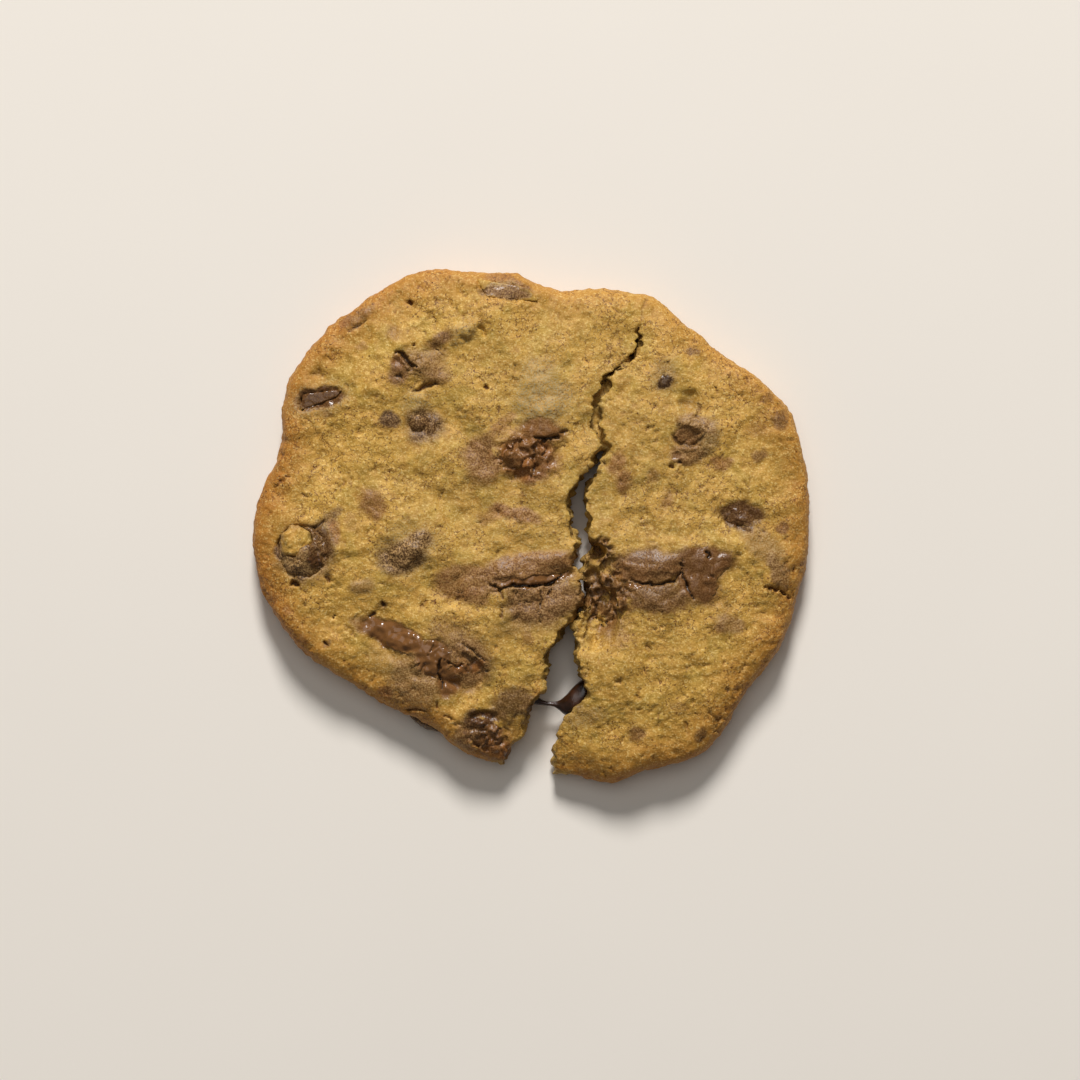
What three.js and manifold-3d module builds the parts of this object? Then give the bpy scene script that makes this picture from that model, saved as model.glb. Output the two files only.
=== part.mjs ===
// A flat baked chocolate chip cookie, split by hand from its lower edge almost to its upper rim.
// Millimetres, +Z up, origin under the middle of its outline, on the surface that it lies on.
// Bearings are degrees anticlockwise from +X, seen from above.

import * as THREE from 'three';
import { ImprovedNoise } from 'three/addons/math/ImprovedNoise.js';
import { mergeVertices } from 'three/addons/utils/BufferGeometryUtils.js';
import Module from 'manifold-3d';

// Driving sizes of the dough
const RIM_THICKNESS = 6.8;
const CENTRE_THICKNESS = 8.6;
const BREAK_THINNING = { x: 1, y: -42, depth: 3.4, reach: 9 };
const AROUND = 96;
const TOP_RINGS = 12;
const FLAT_TOP_SHARE = 0.9;

// Where the rim's curve turns: bearing and distance from the middle
const RIM = [
  [0, 46.2], [12, 46.8], [24, 46.8], [32, 45.2], [40, 42.9], [48, 41.9], [56, 42.4], [62, 43.0],
  [67, 41.7], [75, 40.6], [81, 39.2], [88, 39.9], [95, 42.1], [103, 42.9], [111, 45.5], [120, 46.1],
  [133, 46.6], [144, 46.9], [151, 46.3], [157, 44.8], [162, 43.2], [168, 43.8], [175, 45.3],
  [183, 46.2], [192, 46.1], [200, 45.0], [208, 43.5], [216, 41.3], [225, 39.2], [233, 38.1],
  [239, 37.5], [246, 37.6], [252, 39.1], [263, 40.3], [271, 41.2], [280, 42.4], [288, 45.0],
  [294, 44.9], [300, 46.2], [306, 47.5], [312, 47.2], [318, 46.0], [324, 45.2], [331, 46.0],
  [338, 46.1], [345, 45.8], [352, 46.2],
];

// The edge's section, from the foot's middle up over the rim: share of the radius, share of the thickness
const EDGE_SECTION = [
  [0, 0], [0.5, 0], [0.91, 0], [0.955, 0.06], [0.982, 0.2], [0.997, 0.4], [1, 0.62], [0.993, 0.79],
  [0.976, 0.92], [0.948, 0.985],
];

// Swellings and hollows of the top: x, y, height, reach
const SWELLINGS = [
  [-18, 27, 0.9, 7], [-1, 13, 0.7, 8], [2, 22, 0.8, 7], [27, 15, 0.7, 8], [22, -9, 0.9, 9],
  [-4, -10, 0.8, 8], [-16, -21, 0.8, 8], [-20, -5, 0.7, 6], [-37, -4, 0.9, 6], [14, -26, 0.6, 9],
  [-8, 3, -0.5, 6], [-30, 12, -0.5, 7], [24, 4, -0.4, 7], [30, -22, 0.5, 9], [-8, 33, 0.4, 7],
  [-27, -14, -0.5, 6], [22, 24, 0.5, 6], [35, 10, -0.4, 6], [-6, -25, -0.4, 5],
];
const LUMPINESS = [{ size: 8.5, height: 0.55 }, { size: 3.6, height: 0.3 }];

// The split, from its blind upper end to its open mouth: x, y, width
const SPLIT = [
  [17.9, 32.8, 0.3], [18.0, 31.0, 0.5], [17.5, 29.0, 0.5], [16.3, 27.0, 0.6], [14.4, 25.5, 0.8],
  [12.3, 24.2, 1.2], [12.5, 22.0, 1.1], [10.8, 20.8, 1.1], [10.5, 19.0, 1.4], [11.2, 16.2, 1.2],
  [12.0, 13.8, 1.1], [11.8, 12.5, 1.9], [10.9, 9.8, 2.2], [8.8, 6.8, 2.8], [7.5, 4.5, 2.9],
  [8.1, 2.2, 2.9], [8.4, -0.5, 3.3], [9.0, -3.1, 2.4], [7.8, -5.6, 2.4], [7.6, -7.8, 1.9],
  [8.8, -10.4, 0.9], [8.9, -12.8, 1.1], [7.7, -14.9, 0.9], [6.6, -16.6, 1.6], [6.2, -18.6, 3.3],
  [5.2, -21.4, 5.3], [5.3, -24.5, 5.9], [5.7, -27.2, 7.4], [4.6, -29.5, 8.8], [2.8, -31.8, 6.6],
  [1.7, -34.6, 5.9], [0.7, -37.0, 7.4], [-0.2, -40.0, 8.4], [-0.5, -44.5, 9.2],
];
const BLIND_STATIONS = 12;
const BLIND_FLOOR = 6;
const JAG = 0.22;
const JAG_PITCH = 0.34;

// Crumb torn out of the top: x, y, radius along x, radius along y, depth
const TORN = [
  [11.6, -12.6, 3.0, 7.4, 2.2], [10.8, -4.6, 1.7, 1.7, 4.6], [-7.6, -32.0, 2.8, 1.3, 1.2],
  [-38.6, -7.6, 1.9, 1.5, 3.4], [26.2, 20.4, 1.6, 1.8, 1.0], [-20.8, 26.6, 0.9, 1.9, 2.2],
];

// Narrow fissures in the top: from x and y, to x and y, width, depth
const FISSURES = [
  [38.2, -9.6, 44.4, -13.1, 0.5, 1.4], [-8.6, 33.2, -7.4, 30.8, 0.8, 1.3],
  [-27.2, -12.6, -23.6, -16.6, 0.5, 1.2], [-44.2, 7.4, -39.9, 9.2, 0.6, 0.8],
  [24.0, 19.2, 27.4, 22.6, 1.0, 1.0], [-26.0, 19.8, -20.4, 22.0, 0.5, 0.6],
  [18.4, 38.6, 19.0, 34.0, 0.5, 1.0],
];

// Pieces of chocolate that show in the dough: middle x and y, length, width, thickness, turn,
// and how far the top stands above the dough
const CHUNKS = {
  chunk_middle: [-1.2, 12.2, 14.0, 8.6, 4.4, 22, 0.4],
  chunk_band_left: [-3.8, -10.3, 20.0, 8.2, 4.2, 5, 0.4],
  chunk_band_right: [19.2, -8.6, 14.0, 7.2, 4.2, -6, 0.4],
  chunk_band_end: [31.1, -8.5, 8.8, 5.2, 4.0, 66, 0.5],
  chunk_lower_left: [-17.2, -21.6, 19.0, 8.2, 4.0, -28, 0.4],
  chunk_tip: [-7.2, -35.0, 7.2, 5.4, 2.6, 10, 0.2],
  chunk_mid_left: [-20.6, -4.7, 8.2, 5.2, 3.8, 30, 0.5],
  chunk_upper_right: [26.6, 14.4, 8.8, 7.0, 4.0, 34, 0.3],
  chunk_right: [34.4, 1.0, 8.0, 4.2, 3.4, -12, 0.3],
  chunk_fold: [-18.6, 26.8, 8.2, 6.0, 4.0, 48, 0.3],
  chunk_under_rim: [-16.5, -32.2, 7.4, 3.4, 2.6, -27, null],
};
const UNDER_RIM_HEIGHT = 3.2;
const CHUNK_ROUGHNESS = 0.45;
const ROUGHNESS_PITCH = 0.6;
const SQUARENESS = 0.85;
const BLOCK_TOP = 0.7;
const SEED_STEP = 3.7;

// Flat slices of chocolate that stand on edge in the dough: middle x and y, length, width at the broad
// end, share of it at the narrow end, thickness, turn, slant of the ends, how far the top stands up
const SLICES = {
  slice_left_rim: [-34.7, 20.9, 6.6, 2.6, 0.4, 3.4, 14, 0.5, 0],
  slice_top_rim: [-3.8, 38.5, 8.6, 2.9, 0.75, 3.0, -7, -0.7, 0],
};

// Chips of the drop shape: middle x and y, diameter, height, how far the top stands above the dough
const CHIPS = {
  chip_left: [-37.1, -4.6, 9.6, 5.0, 1.5],
  chip_upper_left: [-18.6, 16.6, 5.8, 4.0, 0.4],
};
const CHIP_SIDES = 18;
// Radius share and height share of a drop, from the middle of its foot to its tip
const DROP_SECTION = [
  [0, 0], [0.7, 0], [0.94, 0.1], [1, 0.3], [0.93, 0.52], [0.76, 0.72], [0.5, 0.88], [0.24, 0.97], [0, 1],
];

// A crumb of dough stuck on the left chip
const STUCK_CRUMB = { x: -38.5, y: -2.9, length: 4.8, width: 4.6, height: 3.0, proud: 1.9 };

// Melted chocolate drawn out across the split: x, middle y, half width along Y, half thickness
const STRAND = [
  [-1.4, -28.6, 0, 0], [-1.2, -28.6, 0.6, 0.6], [0, -28.9, 1.05, 0.9], [1, -29.2, 0.75, 0.7],
  [2, -29.6, 0.44, 0.46], [3, -29.8, 0.34, 0.38], [3.9, -29.85, 0.38, 0.42], [4.6, -29.95, 0.65, 0.55],
  [5.3, -30.2, 1.3, 0.85], [6, -30, 1.9, 1.2], [7, -29.4, 2.4, 1.5], [8, -28.7, 2.9, 1.7],
  [9.2, -28.4, 3, 1.7], [10.2, -28.4, 2.5, 1.3], [10.6, -28.4, 0, 0],
];
const STRAND_HEIGHT = 3.4;
const STRAND_SIDES = 14;

// Room between pieces that touch
const GAP = 0.32;

// Higher than any of the dough, for what cuts down into it
const ABOVE = 20;

const MATERIALS = {
  dough: new THREE.MeshStandardMaterial({ color: 0xc08f45, roughness: 0.8, metalness: 0 }),
  milk_brown: new THREE.MeshStandardMaterial({ color: 0x7a5233, roughness: 0.45, metalness: 0 }),
  dark_brown: new THREE.MeshStandardMaterial({ color: 0x4a3022, roughness: 0.4, metalness: 0 }),
};
// What isn't milk brown
const FINISHES = {
  cookie: 'dough', dough_crumb: 'dough', chip_left: 'dark_brown', chip_upper_left: 'dark_brown',
  slice_left_rim: 'dark_brown', slice_top_rim: 'dark_brown', chunk_under_rim: 'dark_brown',
  chunk_mid_left: 'dark_brown', chunk_right: 'dark_brown', chocolate_strand: 'dark_brown',
};

const wasm = await Module();
wasm.setup();
const noise = new ImprovedNoise();

/** A closed mesh as a solid that can be joined and cut. */
function solidOf(geometry) {
  const bare = geometry.clone();
  bare.deleteAttribute('normal');
  bare.deleteAttribute('uv');
  const merged = mergeVertices(bare, 1e-4);
  const corners = merged.index.array;
  const kept = [];
  for (let i = 0; i < corners.length; i += 3) {
    const [a, b, c] = corners.slice(i, i + 3);
    if (a !== b && b !== c && a !== c) kept.push(a, b, c);
  }
  return new wasm.Manifold(new wasm.Mesh({
    numProp: 3,
    vertProperties: merged.attributes.position.array,
    triVerts: new Uint32Array(kept),
  }));
}

/** A solid's surface as a three.js geometry. */
function geometryOf(solid) {
  const mesh = solid.getMesh();
  const geometry = new THREE.BufferGeometry();
  geometry.setAttribute('position', new THREE.BufferAttribute(mesh.vertProperties, 3));
  geometry.setIndex(new THREE.BufferAttribute(mesh.triVerts, 1));
  geometry.computeVertexNormals();
  return geometry;
}

/** Moves each point of a geometry to where place(point) says. */
function reshaped(geometry, place) {
  const position = geometry.attributes.position;
  const point = new THREE.Vector3();
  for (let i = 0; i < position.count; i += 1) {
    point.fromBufferAttribute(position, i);
    place(point);
    position.setXYZ(i, point.x, point.y, point.z);
  }
  return geometry;
}

/** The outline's distance from the middle at a bearing in radians, smooth through the knots of RIM. */
const rimRadius = (() => {
  const knots = RIM.map(([bearing, radius]) => {
    const turn = THREE.MathUtils.degToRad(bearing);
    return new THREE.Vector3(radius * Math.cos(turn), radius * Math.sin(turn), 0);
  });
  const fullTurn = 2 * Math.PI;
  const bearingOf = (p) => THREE.MathUtils.euclideanModulo(Math.atan2(p.y, p.x), fullTurn);
  const points = new THREE.CatmullRomCurve3(knots, true, 'centripetal').getPoints(RIM.length * 12);
  const samples = points.map((p) => [bearingOf(p), p.length()]).sort((a, b) => a[0] - b[0]);
  return (bearing) => {
    const turn = THREE.MathUtils.euclideanModulo(bearing, fullTurn);
    const next = Math.max(samples.findIndex(([angle]) => angle >= turn), 0);
    const [angle, radius] = samples.at(next - 1);
    const span = THREE.MathUtils.euclideanModulo(samples[next][0] - angle, fullTurn);
    const share = span ? THREE.MathUtils.euclideanModulo(turn - angle, fullTurn) / span : 0;
    return THREE.MathUtils.lerp(radius, samples[next][1], Math.min(share, 1));
  };
})();

/** A rounded bump of height 1 at its middle that fades over its reach. */
const bump = (x, y, atX, atY, reach) => Math.exp(-((x - atX) ** 2 + (y - atY) ** 2) / reach ** 2);

/** How thick the dough is at a point: dome, swellings, lumps, and thinner towards the break's mouth. */
function thickness(x, y) {
  const share = Math.min(Math.hypot(x, y) / rimRadius(Math.atan2(y, x)), 1);
  let total = RIM_THICKNESS + (CENTRE_THICKNESS - RIM_THICKNESS) * (1 - share ** 3);
  for (const [atX, atY, height, reach] of SWELLINGS) total += height * bump(x, y, atX, atY, reach);
  for (const { size, height } of LUMPINESS) total += height * noise.noise(x / size, y / size, size);
  const thin = BREAK_THINNING;
  return total - thin.depth * bump(x, y, thin.x, thin.y, thin.reach);
}

/** The dough before it is split: a turned section pushed out to the rim and up to the top. */
function wholeDough() {
  const section = EDGE_SECTION.map(([radius, height]) => new THREE.Vector2(radius, height));
  for (let ring = 0; ring <= TOP_RINGS; ring += 1) {
    section.push(new THREE.Vector2(FLAT_TOP_SHARE * (1 - ring / TOP_RINGS), 1));
  }
  const turned = new THREE.LatheGeometry(section, AROUND);
  turned.rotateX(Math.PI / 2);
  return solidOf(reshaped(turned, (p) => {
    const bearing = Math.atan2(p.y, p.x);
    const radius = Math.hypot(p.x, p.y) * rimRadius(bearing);
    p.x = radius * Math.cos(bearing);
    p.y = radius * Math.sin(bearing);
    p.z *= thickness(p.x, p.y);
  }));
}

/** The space of a narrow fissure, widest at its middle and pointed at both ends. */
function fissureSpace([fromX, fromY, toX, toY, width, depth]) {
  const from = new THREE.Vector2(fromX, fromY);
  const along = new THREE.Vector2(toX, toY).sub(from);
  const across = new THREE.Vector2(-along.y, along.x).normalize();
  const shares = [0, 0.3, 0.55, 0.8, 1];
  const side = (sign) => shares.slice(1, -1).map((share, i) => from.clone().addScaledVector(along, share)
    .addScaledVector(across, sign * width / 2 + (i === 1 ? width / 2 : -width / 4)));
  const outline = [from, ...side(-1), from.clone().add(along), ...side(1).reverse()];
  const floor = thickness((fromX + toX) / 2, (fromY + toY) / 2) - depth;
  const space = new THREE.ExtrudeGeometry(new THREE.Shape(outline), { depth: ABOVE, bevelEnabled: false });
  space.translate(0, 0, floor);
  return solidOf(space);
}

/** One edge of the split, side -1 or 1, with a jag between every two stations. */
function splitEdge(stations, side) {
  const points = [];
  stations.forEach(([x, y, width], i) => {
    points.push(new THREE.Vector2(x + side * width / 2, y));
    const next = stations[i + 1];
    if (!next) return;
    const jag = JAG * (1 + 2 * noise.noise(x / JAG_PITCH, y / JAG_PITCH, side));
    const middleX = (x + next[0]) / 2 + side * ((width + next[2]) / 4 + jag);
    points.push(new THREE.Vector2(middleX, (y + next[1]) / 2));
  });
  return points;
}

/** The space that the split leaves between heights, for the stations given. */
function splitSpace(stations, low, high) {
  const outline = [...splitEdge(stations, -1), ...splitEdge(stations, 1).reverse()];
  const depth = high - low;
  const space = new THREE.ExtrudeGeometry(new THREE.Shape(outline), { depth, bevelEnabled: false });
  space.translate(0, 0, low);
  return solidOf(space);
}

/** A rough rounded block of unit radius, a little square as seen from above, and blunt on top. */
function roughBlock(seed) {
  const squared = (value) => Math.sign(value) * Math.abs(value) ** SQUARENESS;
  return reshaped(new THREE.IcosahedronGeometry(1, 2), (p) => {
    const [u, v, w] = [p.x, p.y, p.z].map((value) => value / ROUGHNESS_PITCH);
    const swell = 1 + CHUNK_ROUGHNESS * noise.noise(u + seed, v, w);
    p.set(squared(p.x), squared(p.y), p.z).multiplyScalar(swell);
    p.z = Math.min(p.z, BLOCK_TOP);
  });
}

/** One piece of chocolate, or the pocket that it sits in, which is larger by the gap all round. */
function chunk(name, gap = 0) {
  const [x, y, length, width, depth, turn, proud] = CHUNKS[name];
  const block = roughBlock(Object.keys(CHUNKS).indexOf(name) * SEED_STEP);
  block.scale(length / 2 + gap, width / 2 + gap, depth / 2 + gap);
  block.rotateZ(THREE.MathUtils.degToRad(turn));
  block.translate(x, y, 0);
  return solidOf(reshaped(block, (p) => {
    p.z += proud === null ? UNDER_RIM_HEIGHT : thickness(p.x, p.y) + proud - BLOCK_TOP * depth / 2;
  }));
}

/** One slice, or its pocket: a slab that narrows towards its far end. */
function slice(name, gap = 0) {
  const [x, y, length, width, narrowing, depth, turn, slant, proud] = SLICES[name];
  const slab = reshaped(new THREE.BoxGeometry(1, 1, 1), (p) => {
    const ownWidth = width * (1 + (narrowing - 1) * (p.x + 0.5));
    p.set(p.x * (length + 2 * gap) + p.y * slant * width, p.y * (ownWidth + 2 * gap), p.z * (depth + 2 * gap));
  });
  slab.rotateZ(THREE.MathUtils.degToRad(turn));
  slab.translate(x, y, 0);
  return solidOf(reshaped(slab, (p) => {
    p.z += thickness(p.x, p.y) + proud - depth / 2;
  }));
}

/** One chip of the drop shape, or its pocket. */
function chip(name, gap = 0) {
  const [x, y, diameter, height, proud] = CHIPS[name];
  const section = DROP_SECTION.map(([radius, share]) => new THREE.Vector2(
    radius * (diameter / 2 + gap), share * (height + 2 * gap) - gap));
  const drop = new THREE.LatheGeometry(section, CHIP_SIDES);
  drop.rotateX(Math.PI / 2);
  drop.translate(x, y, thickness(x, y) + proud - height);
  return solidOf(drop);
}

/** The crumb of dough stuck on the left chip, or the hollow that it leaves there. */
function stuckCrumb(gap = 0) {
  const { x, y, length, width, height, proud } = STUCK_CRUMB;
  const crumb = roughBlock(SEED_STEP / 2);
  crumb.scale(length / 2 + gap, width / 2 + gap, height / 2 + gap);
  crumb.translate(x, y, thickness(x, y) + proud - height / 2);
  return solidOf(crumb);
}

/** The drawn-out melted chocolate, a tube along X, or the room that it takes in the walls. */
function strand(gap = 0) {
  const ends = [0, STRAND.length - 1];
  const section = STRAND.map(([along], i) => new THREE.Vector2(ends.includes(i) ? 0 : 1, along));
  const neck = new THREE.LatheGeometry(section, STRAND_SIDES);
  neck.rotateZ(-Math.PI / 2);
  return solidOf(reshaped(neck, (p) => {
    const [, middle, halfWidth, halfThickness] = STRAND.find(([along]) => Math.abs(along - p.x) < 1e-4);
    if (halfWidth === 0) p.x += Math.sign(p.x) * gap;
    p.y = middle + p.y * (halfWidth + gap);
    p.z = STRAND_HEIGHT + p.z * (halfThickness + gap);
  }));
}

/** The space of a torn hollow in the top. */
function tornHollow([x, y, radiusX, radiusY, depth]) {
  const hollow = roughBlock(x + y);
  hollow.scale(radiusX, radiusY, depth);
  hollow.translate(x, y, thickness(x, y));
  return solidOf(hollow);
}

const pieces = {};
const pockets = [stuckCrumb(GAP), strand(GAP)];
for (const name of Object.keys(CHUNKS)) {
  pieces[name] = chunk(name);
  pockets.push(chunk(name, GAP));
}
for (const name of Object.keys(SLICES)) {
  pieces[name] = slice(name);
  pockets.push(slice(name, GAP));
}
for (const name of Object.keys(CHIPS)) {
  pieces[name] = chip(name);
  pockets.push(chip(name, GAP));
}
pieces.chip_left = pieces.chip_left.subtract(stuckCrumb(GAP));
pieces.dough_crumb = stuckCrumb();
pieces.chocolate_strand = strand();

const cuts = [
  splitSpace(SPLIT.slice(0, BLIND_STATIONS + 1), BLIND_FLOOR, ABOVE),
  splitSpace(SPLIT.slice(BLIND_STATIONS - 1), -1, ABOVE),
  ...TORN.map(tornHollow),
  ...FISSURES.map(fissureSpace),
  ...pockets,
];
pieces.cookie = cuts.reduce((dough, cut) => dough.subtract(cut), wholeDough());

const cookie = new THREE.Group();
for (const [name, solid] of Object.entries(pieces)) {
  const mesh = new THREE.Mesh(geometryOf(solid), MATERIALS[FINISHES[name] ?? 'milk_brown']);
  mesh.name = name;
  cookie.add(mesh);
}

export default cookie;
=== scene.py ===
"""A flat baked chocolate chip cookie, split by hand, lying on a pale floor.

Sizes in the classes are millimetres. Meshes are metres in the frame's axes: the split runs along Y with
its open mouth at low Y, and Z is up. Turns are degrees anticlockwise as seen from above.
"""
import logging
import math
from collections.abc import Sequence
from dataclasses import dataclass
from enum import Enum

import bpy
import numpy as np
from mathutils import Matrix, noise
from mathutils.bvhtree import BVHTree


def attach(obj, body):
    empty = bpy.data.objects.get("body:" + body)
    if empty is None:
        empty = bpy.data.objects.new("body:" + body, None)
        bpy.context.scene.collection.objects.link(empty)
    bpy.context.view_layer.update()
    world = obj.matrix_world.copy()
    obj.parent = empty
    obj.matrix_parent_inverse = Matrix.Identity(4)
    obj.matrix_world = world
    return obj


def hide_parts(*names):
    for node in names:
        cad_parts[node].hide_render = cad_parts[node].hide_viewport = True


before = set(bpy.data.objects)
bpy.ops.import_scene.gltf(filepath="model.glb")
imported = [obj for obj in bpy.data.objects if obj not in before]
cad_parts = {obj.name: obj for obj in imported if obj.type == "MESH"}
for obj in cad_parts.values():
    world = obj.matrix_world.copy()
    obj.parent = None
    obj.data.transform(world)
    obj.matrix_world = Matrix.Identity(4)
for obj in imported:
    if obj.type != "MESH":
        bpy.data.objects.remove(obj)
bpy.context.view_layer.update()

MM = 0.001
MERGE_WITHIN = 0.002  # how close together points of a solid count as one
POCKET_DEPTH = 0.35  # how far the solids' chocolate stands out of the dough
SEED_STEP = 17.31  # how far apart the patterns of two seeds lie
CHANCE_STEP = 9.7  # how far apart the spots lie from which neighbouring cells draw their chances
CHANCE_TURNS = 40.0  # over how many radians a cell's direction is drawn
FURTHER_CHANCES = (13.7, 7.3)  # what a cell's chance is multiplied by to draw two more from it
PAINTED = ("cocoa", "tone", "melt", "bloom", "hollow_shade", "browned", "inner")  # numbers on a piece's points
LOG = logging.getLogger("cookie")

Piece = bpy.types.Object
Material = bpy.types.Material
Array = np.ndarray
Colour = tuple[float, float, float]
Spot = tuple[float, float]
Layer = tuple[float, float, float]  # the height, size and seed of one layer of swellings


class Slot(Enum):
    """The record's material slots."""

    DOUGH = "baked_dough"
    MILK = "milk_brown_chocolate"
    DARK = "dark_chocolate"


def linear(red: int, green: int, blue: int) -> Colour:
    """Turns a colour as seen on a screen, 0 to 255, into linear light, 0 to 1."""
    shares = (value / 255 for value in (red, green, blue))
    return tuple(s / 12.92 if s < 0.04045 else ((s + 0.055) / 1.055) ** 2.4 for s in shares)


def smooth_step(low: float, high: float, values: Array) -> Array:
    """Goes smoothly from 0 at low to 1 at high, where high may be less than low."""
    share = np.clip((values - low) / (high - low), 0.0, 1.0)
    return share * share * (3.0 - 2.0 * share)


# ---- meshes


def deselect_all() -> None:
    """Leaves nothing selected."""
    bpy.ops.object.select_all(action="DESELECT")


def make_active(piece: Piece) -> None:
    """Selects one object alone and makes it the active one."""
    deselect_all()
    piece.select_set(True)
    bpy.context.view_layer.objects.active = piece


def apply_modifier(piece: Piece, kind: str, **settings: object) -> None:
    """Adds a modifier and applies it at once.

    Args:
        piece: The object to change.
        kind: The modifier's type.
        settings: The modifier's own settings.
    """
    modifier = piece.modifiers.new(kind.lower(), kind)
    for name, value in settings.items():
        setattr(modifier, name, value)
    make_active(piece)
    bpy.ops.object.modifier_apply(modifier=modifier.name)


def copy_of_node(node: str, name: str) -> Piece:
    """Copies a CAD node into a new object with its loose triangles merged.

    Args:
        node: The CAD node's name.
        name: The copy's name.

    Returns:
        The copy, which isn't a CAD node any more.
    """
    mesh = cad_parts[node].data.copy()
    mesh.materials.clear()
    piece = bpy.data.objects.new(name, mesh)
    bpy.context.scene.collection.objects.link(piece)
    make_active(piece)
    bpy.ops.object.mode_set(mode="EDIT")
    bpy.ops.mesh.select_all(action="SELECT")
    bpy.ops.mesh.remove_doubles(threshold=MERGE_WITHIN * MM)
    bpy.ops.object.mode_set(mode="OBJECT")
    return piece


def fine_copy(node: str, name: str, voxel: float, rounding: int) -> Piece:
    """Copies a CAD node as an even, fine mesh with rounded edges.

    Args:
        node: The CAD node's name.
        name: The copy's name.
        voxel: The mesh's step.
        rounding: How many times its edges are smoothed.

    Returns:
        The copy.
    """
    piece = copy_of_node(node, name)
    apply_modifier(piece, "REMESH", mode="VOXEL", voxel_size=voxel * MM)
    apply_modifier(piece, "SMOOTH", factor=0.5, iterations=rounding)
    return piece


def join(pieces: Sequence[Piece]) -> Piece:
    """Joins objects into the first of them.

    Args:
        pieces: The objects.

    Returns:
        The first object, which holds them all.
    """
    make_active(pieces[0])
    for piece in pieces:
        piece.select_set(True)
    bpy.ops.object.join()
    return pieces[0]


def points_of(piece: Piece) -> Array:
    """Gives an object's points in millimetres, one row each."""
    flat = np.empty(len(piece.data.vertices) * 3)
    piece.data.vertices.foreach_get("co", flat)
    return flat.reshape(-1, 3) / MM


def move_points(piece: Piece, points: Array) -> None:
    """Puts an object's points where the rows say, in millimetres."""
    piece.data.vertices.foreach_set("co", (points * MM).ravel())
    piece.data.update()


def normals_of(piece: Piece) -> Array:
    """Gives the directions in which an object's points face, one row each."""
    flat = np.empty(len(piece.data.vertices) * 3)
    piece.data.vertex_normals.foreach_get("vector", flat)
    return flat.reshape(-1, 3)


def paint(piece: Piece, name: str, values: Array) -> None:
    """Stores one number for each point under a name, for the material to read."""
    layer = piece.data.attributes.new(name, "FLOAT", "POINT")
    layer.data.foreach_set("value", np.ascontiguousarray(values, dtype=np.float32))


def mark(piece: Piece, name: str, weights: Array, levels: int = 8) -> None:
    """Makes a vertex group from weights, in a few levels.

    Args:
        piece: The object.
        name: The group's name.
        weights: One weight for each point, 0 to 1.
        levels: How many steps the weights are rounded to.
    """
    group = piece.vertex_groups.new(name=name)
    steps = np.rint(weights * levels).astype(int)
    for step in range(1, levels + 1):
        members = np.flatnonzero(steps == step)
        if len(members):
            group.add(members.tolist(), step / levels, "REPLACE")


def keep_largest(piece: Piece) -> Piece:
    """Drops every loose part of an object but the one with the most points.

    Args:
        piece: The object.

    Returns:
        The object that holds what is left, under the same name.
    """
    name = piece.name
    make_active(piece)
    bpy.ops.object.mode_set(mode="EDIT")
    bpy.ops.mesh.select_all(action="SELECT")
    bpy.ops.mesh.separate(type="LOOSE")
    bpy.ops.object.mode_set(mode="OBJECT")
    parts = sorted(bpy.context.selected_objects, key=lambda part: len(part.data.vertices))
    largest = parts.pop()
    for part in parts:
        bpy.data.objects.remove(part)
    largest.name = name
    return largest


def finish_piece(piece: Piece, material: Material, slot: Slot, node: str) -> None:
    """Dresses a finished piece, says what it rides on and hides the CAD node that it stands for.

    Args:
        piece: The object.
        material: Its material.
        slot: The record's material slot; not used.
        node: The CAD node that it replaces.
    """
    piece.data.materials.clear()
    piece.data.materials.append(material)
    make_active(piece)
    bpy.ops.object.shade_smooth()
    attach(piece, "root")
    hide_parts(node)
    LOG.info("%s: %d faces", piece.name, len(piece.data.polygons))


# ---- uneven surfaces


def clouds(points: Array, size: float, seed: int) -> Array:
    """Gives smooth values from about -1 to 1 over points, with swellings of a size, in a seed's pattern."""
    rows = (points / size + seed * SEED_STEP).tolist()
    return np.fromiter(map(noise.noise, rows), dtype=float, count=len(rows))


def swellings(points: Array, layers: Sequence[Layer], start: Array | float = 0.0) -> Array:
    """Adds smooth uneven values of several sizes to start."""
    return sum((height * clouds(points, size, seed) for height, size, seed in layers), start)


def wavering(flat: Array, drift: Sequence[Sequence[Layer]]) -> list[Array]:
    """Gives the X and Y of points after a small uneven shift along both."""
    return [swellings(flat, layers, flat[:, axis]) for axis, layers in enumerate(drift)]


def cells(points: Array, size: float, seed: int, warp: float) -> tuple[Array, ...]:
    """Sorts points by the nearest of seeds scattered in space.

    Args:
        points: The points, one row each.
        size: How far apart the seeds are, mm.
        seed: Picks another pattern.
        warp: How crooked the borders between two seeds' points are, in shares of the size.

    Returns:
        The distances to the nearest and second nearest seed in shares of the size, a number from 0 to 1 for
        each seed's points, and a slope over them in each seed's own direction.
    """
    spots = points / size + seed * SEED_STEP
    for axis in (0, 1):
        spots[:, axis] += warp * clouds(points, size * 0.6, seed + axis)
    near = np.empty((len(spots), 5))
    for number, row in enumerate(spots.tolist()):
        distances, seeds = noise.voronoi(row)
        first = seeds[0]
        chance = noise.cell(first * CHANCE_STEP)
        near[number] = (distances[0], distances[1], chance, row[0] - first.x, row[1] - first.y)
    closest, second, chance, away_x, away_y = near.T
    chance = (chance + 1.0) / 2 % 1.0
    turn = chance * CHANCE_TURNS
    return closest, second, chance, away_x * np.cos(turn) + away_y * np.sin(turn)


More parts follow.
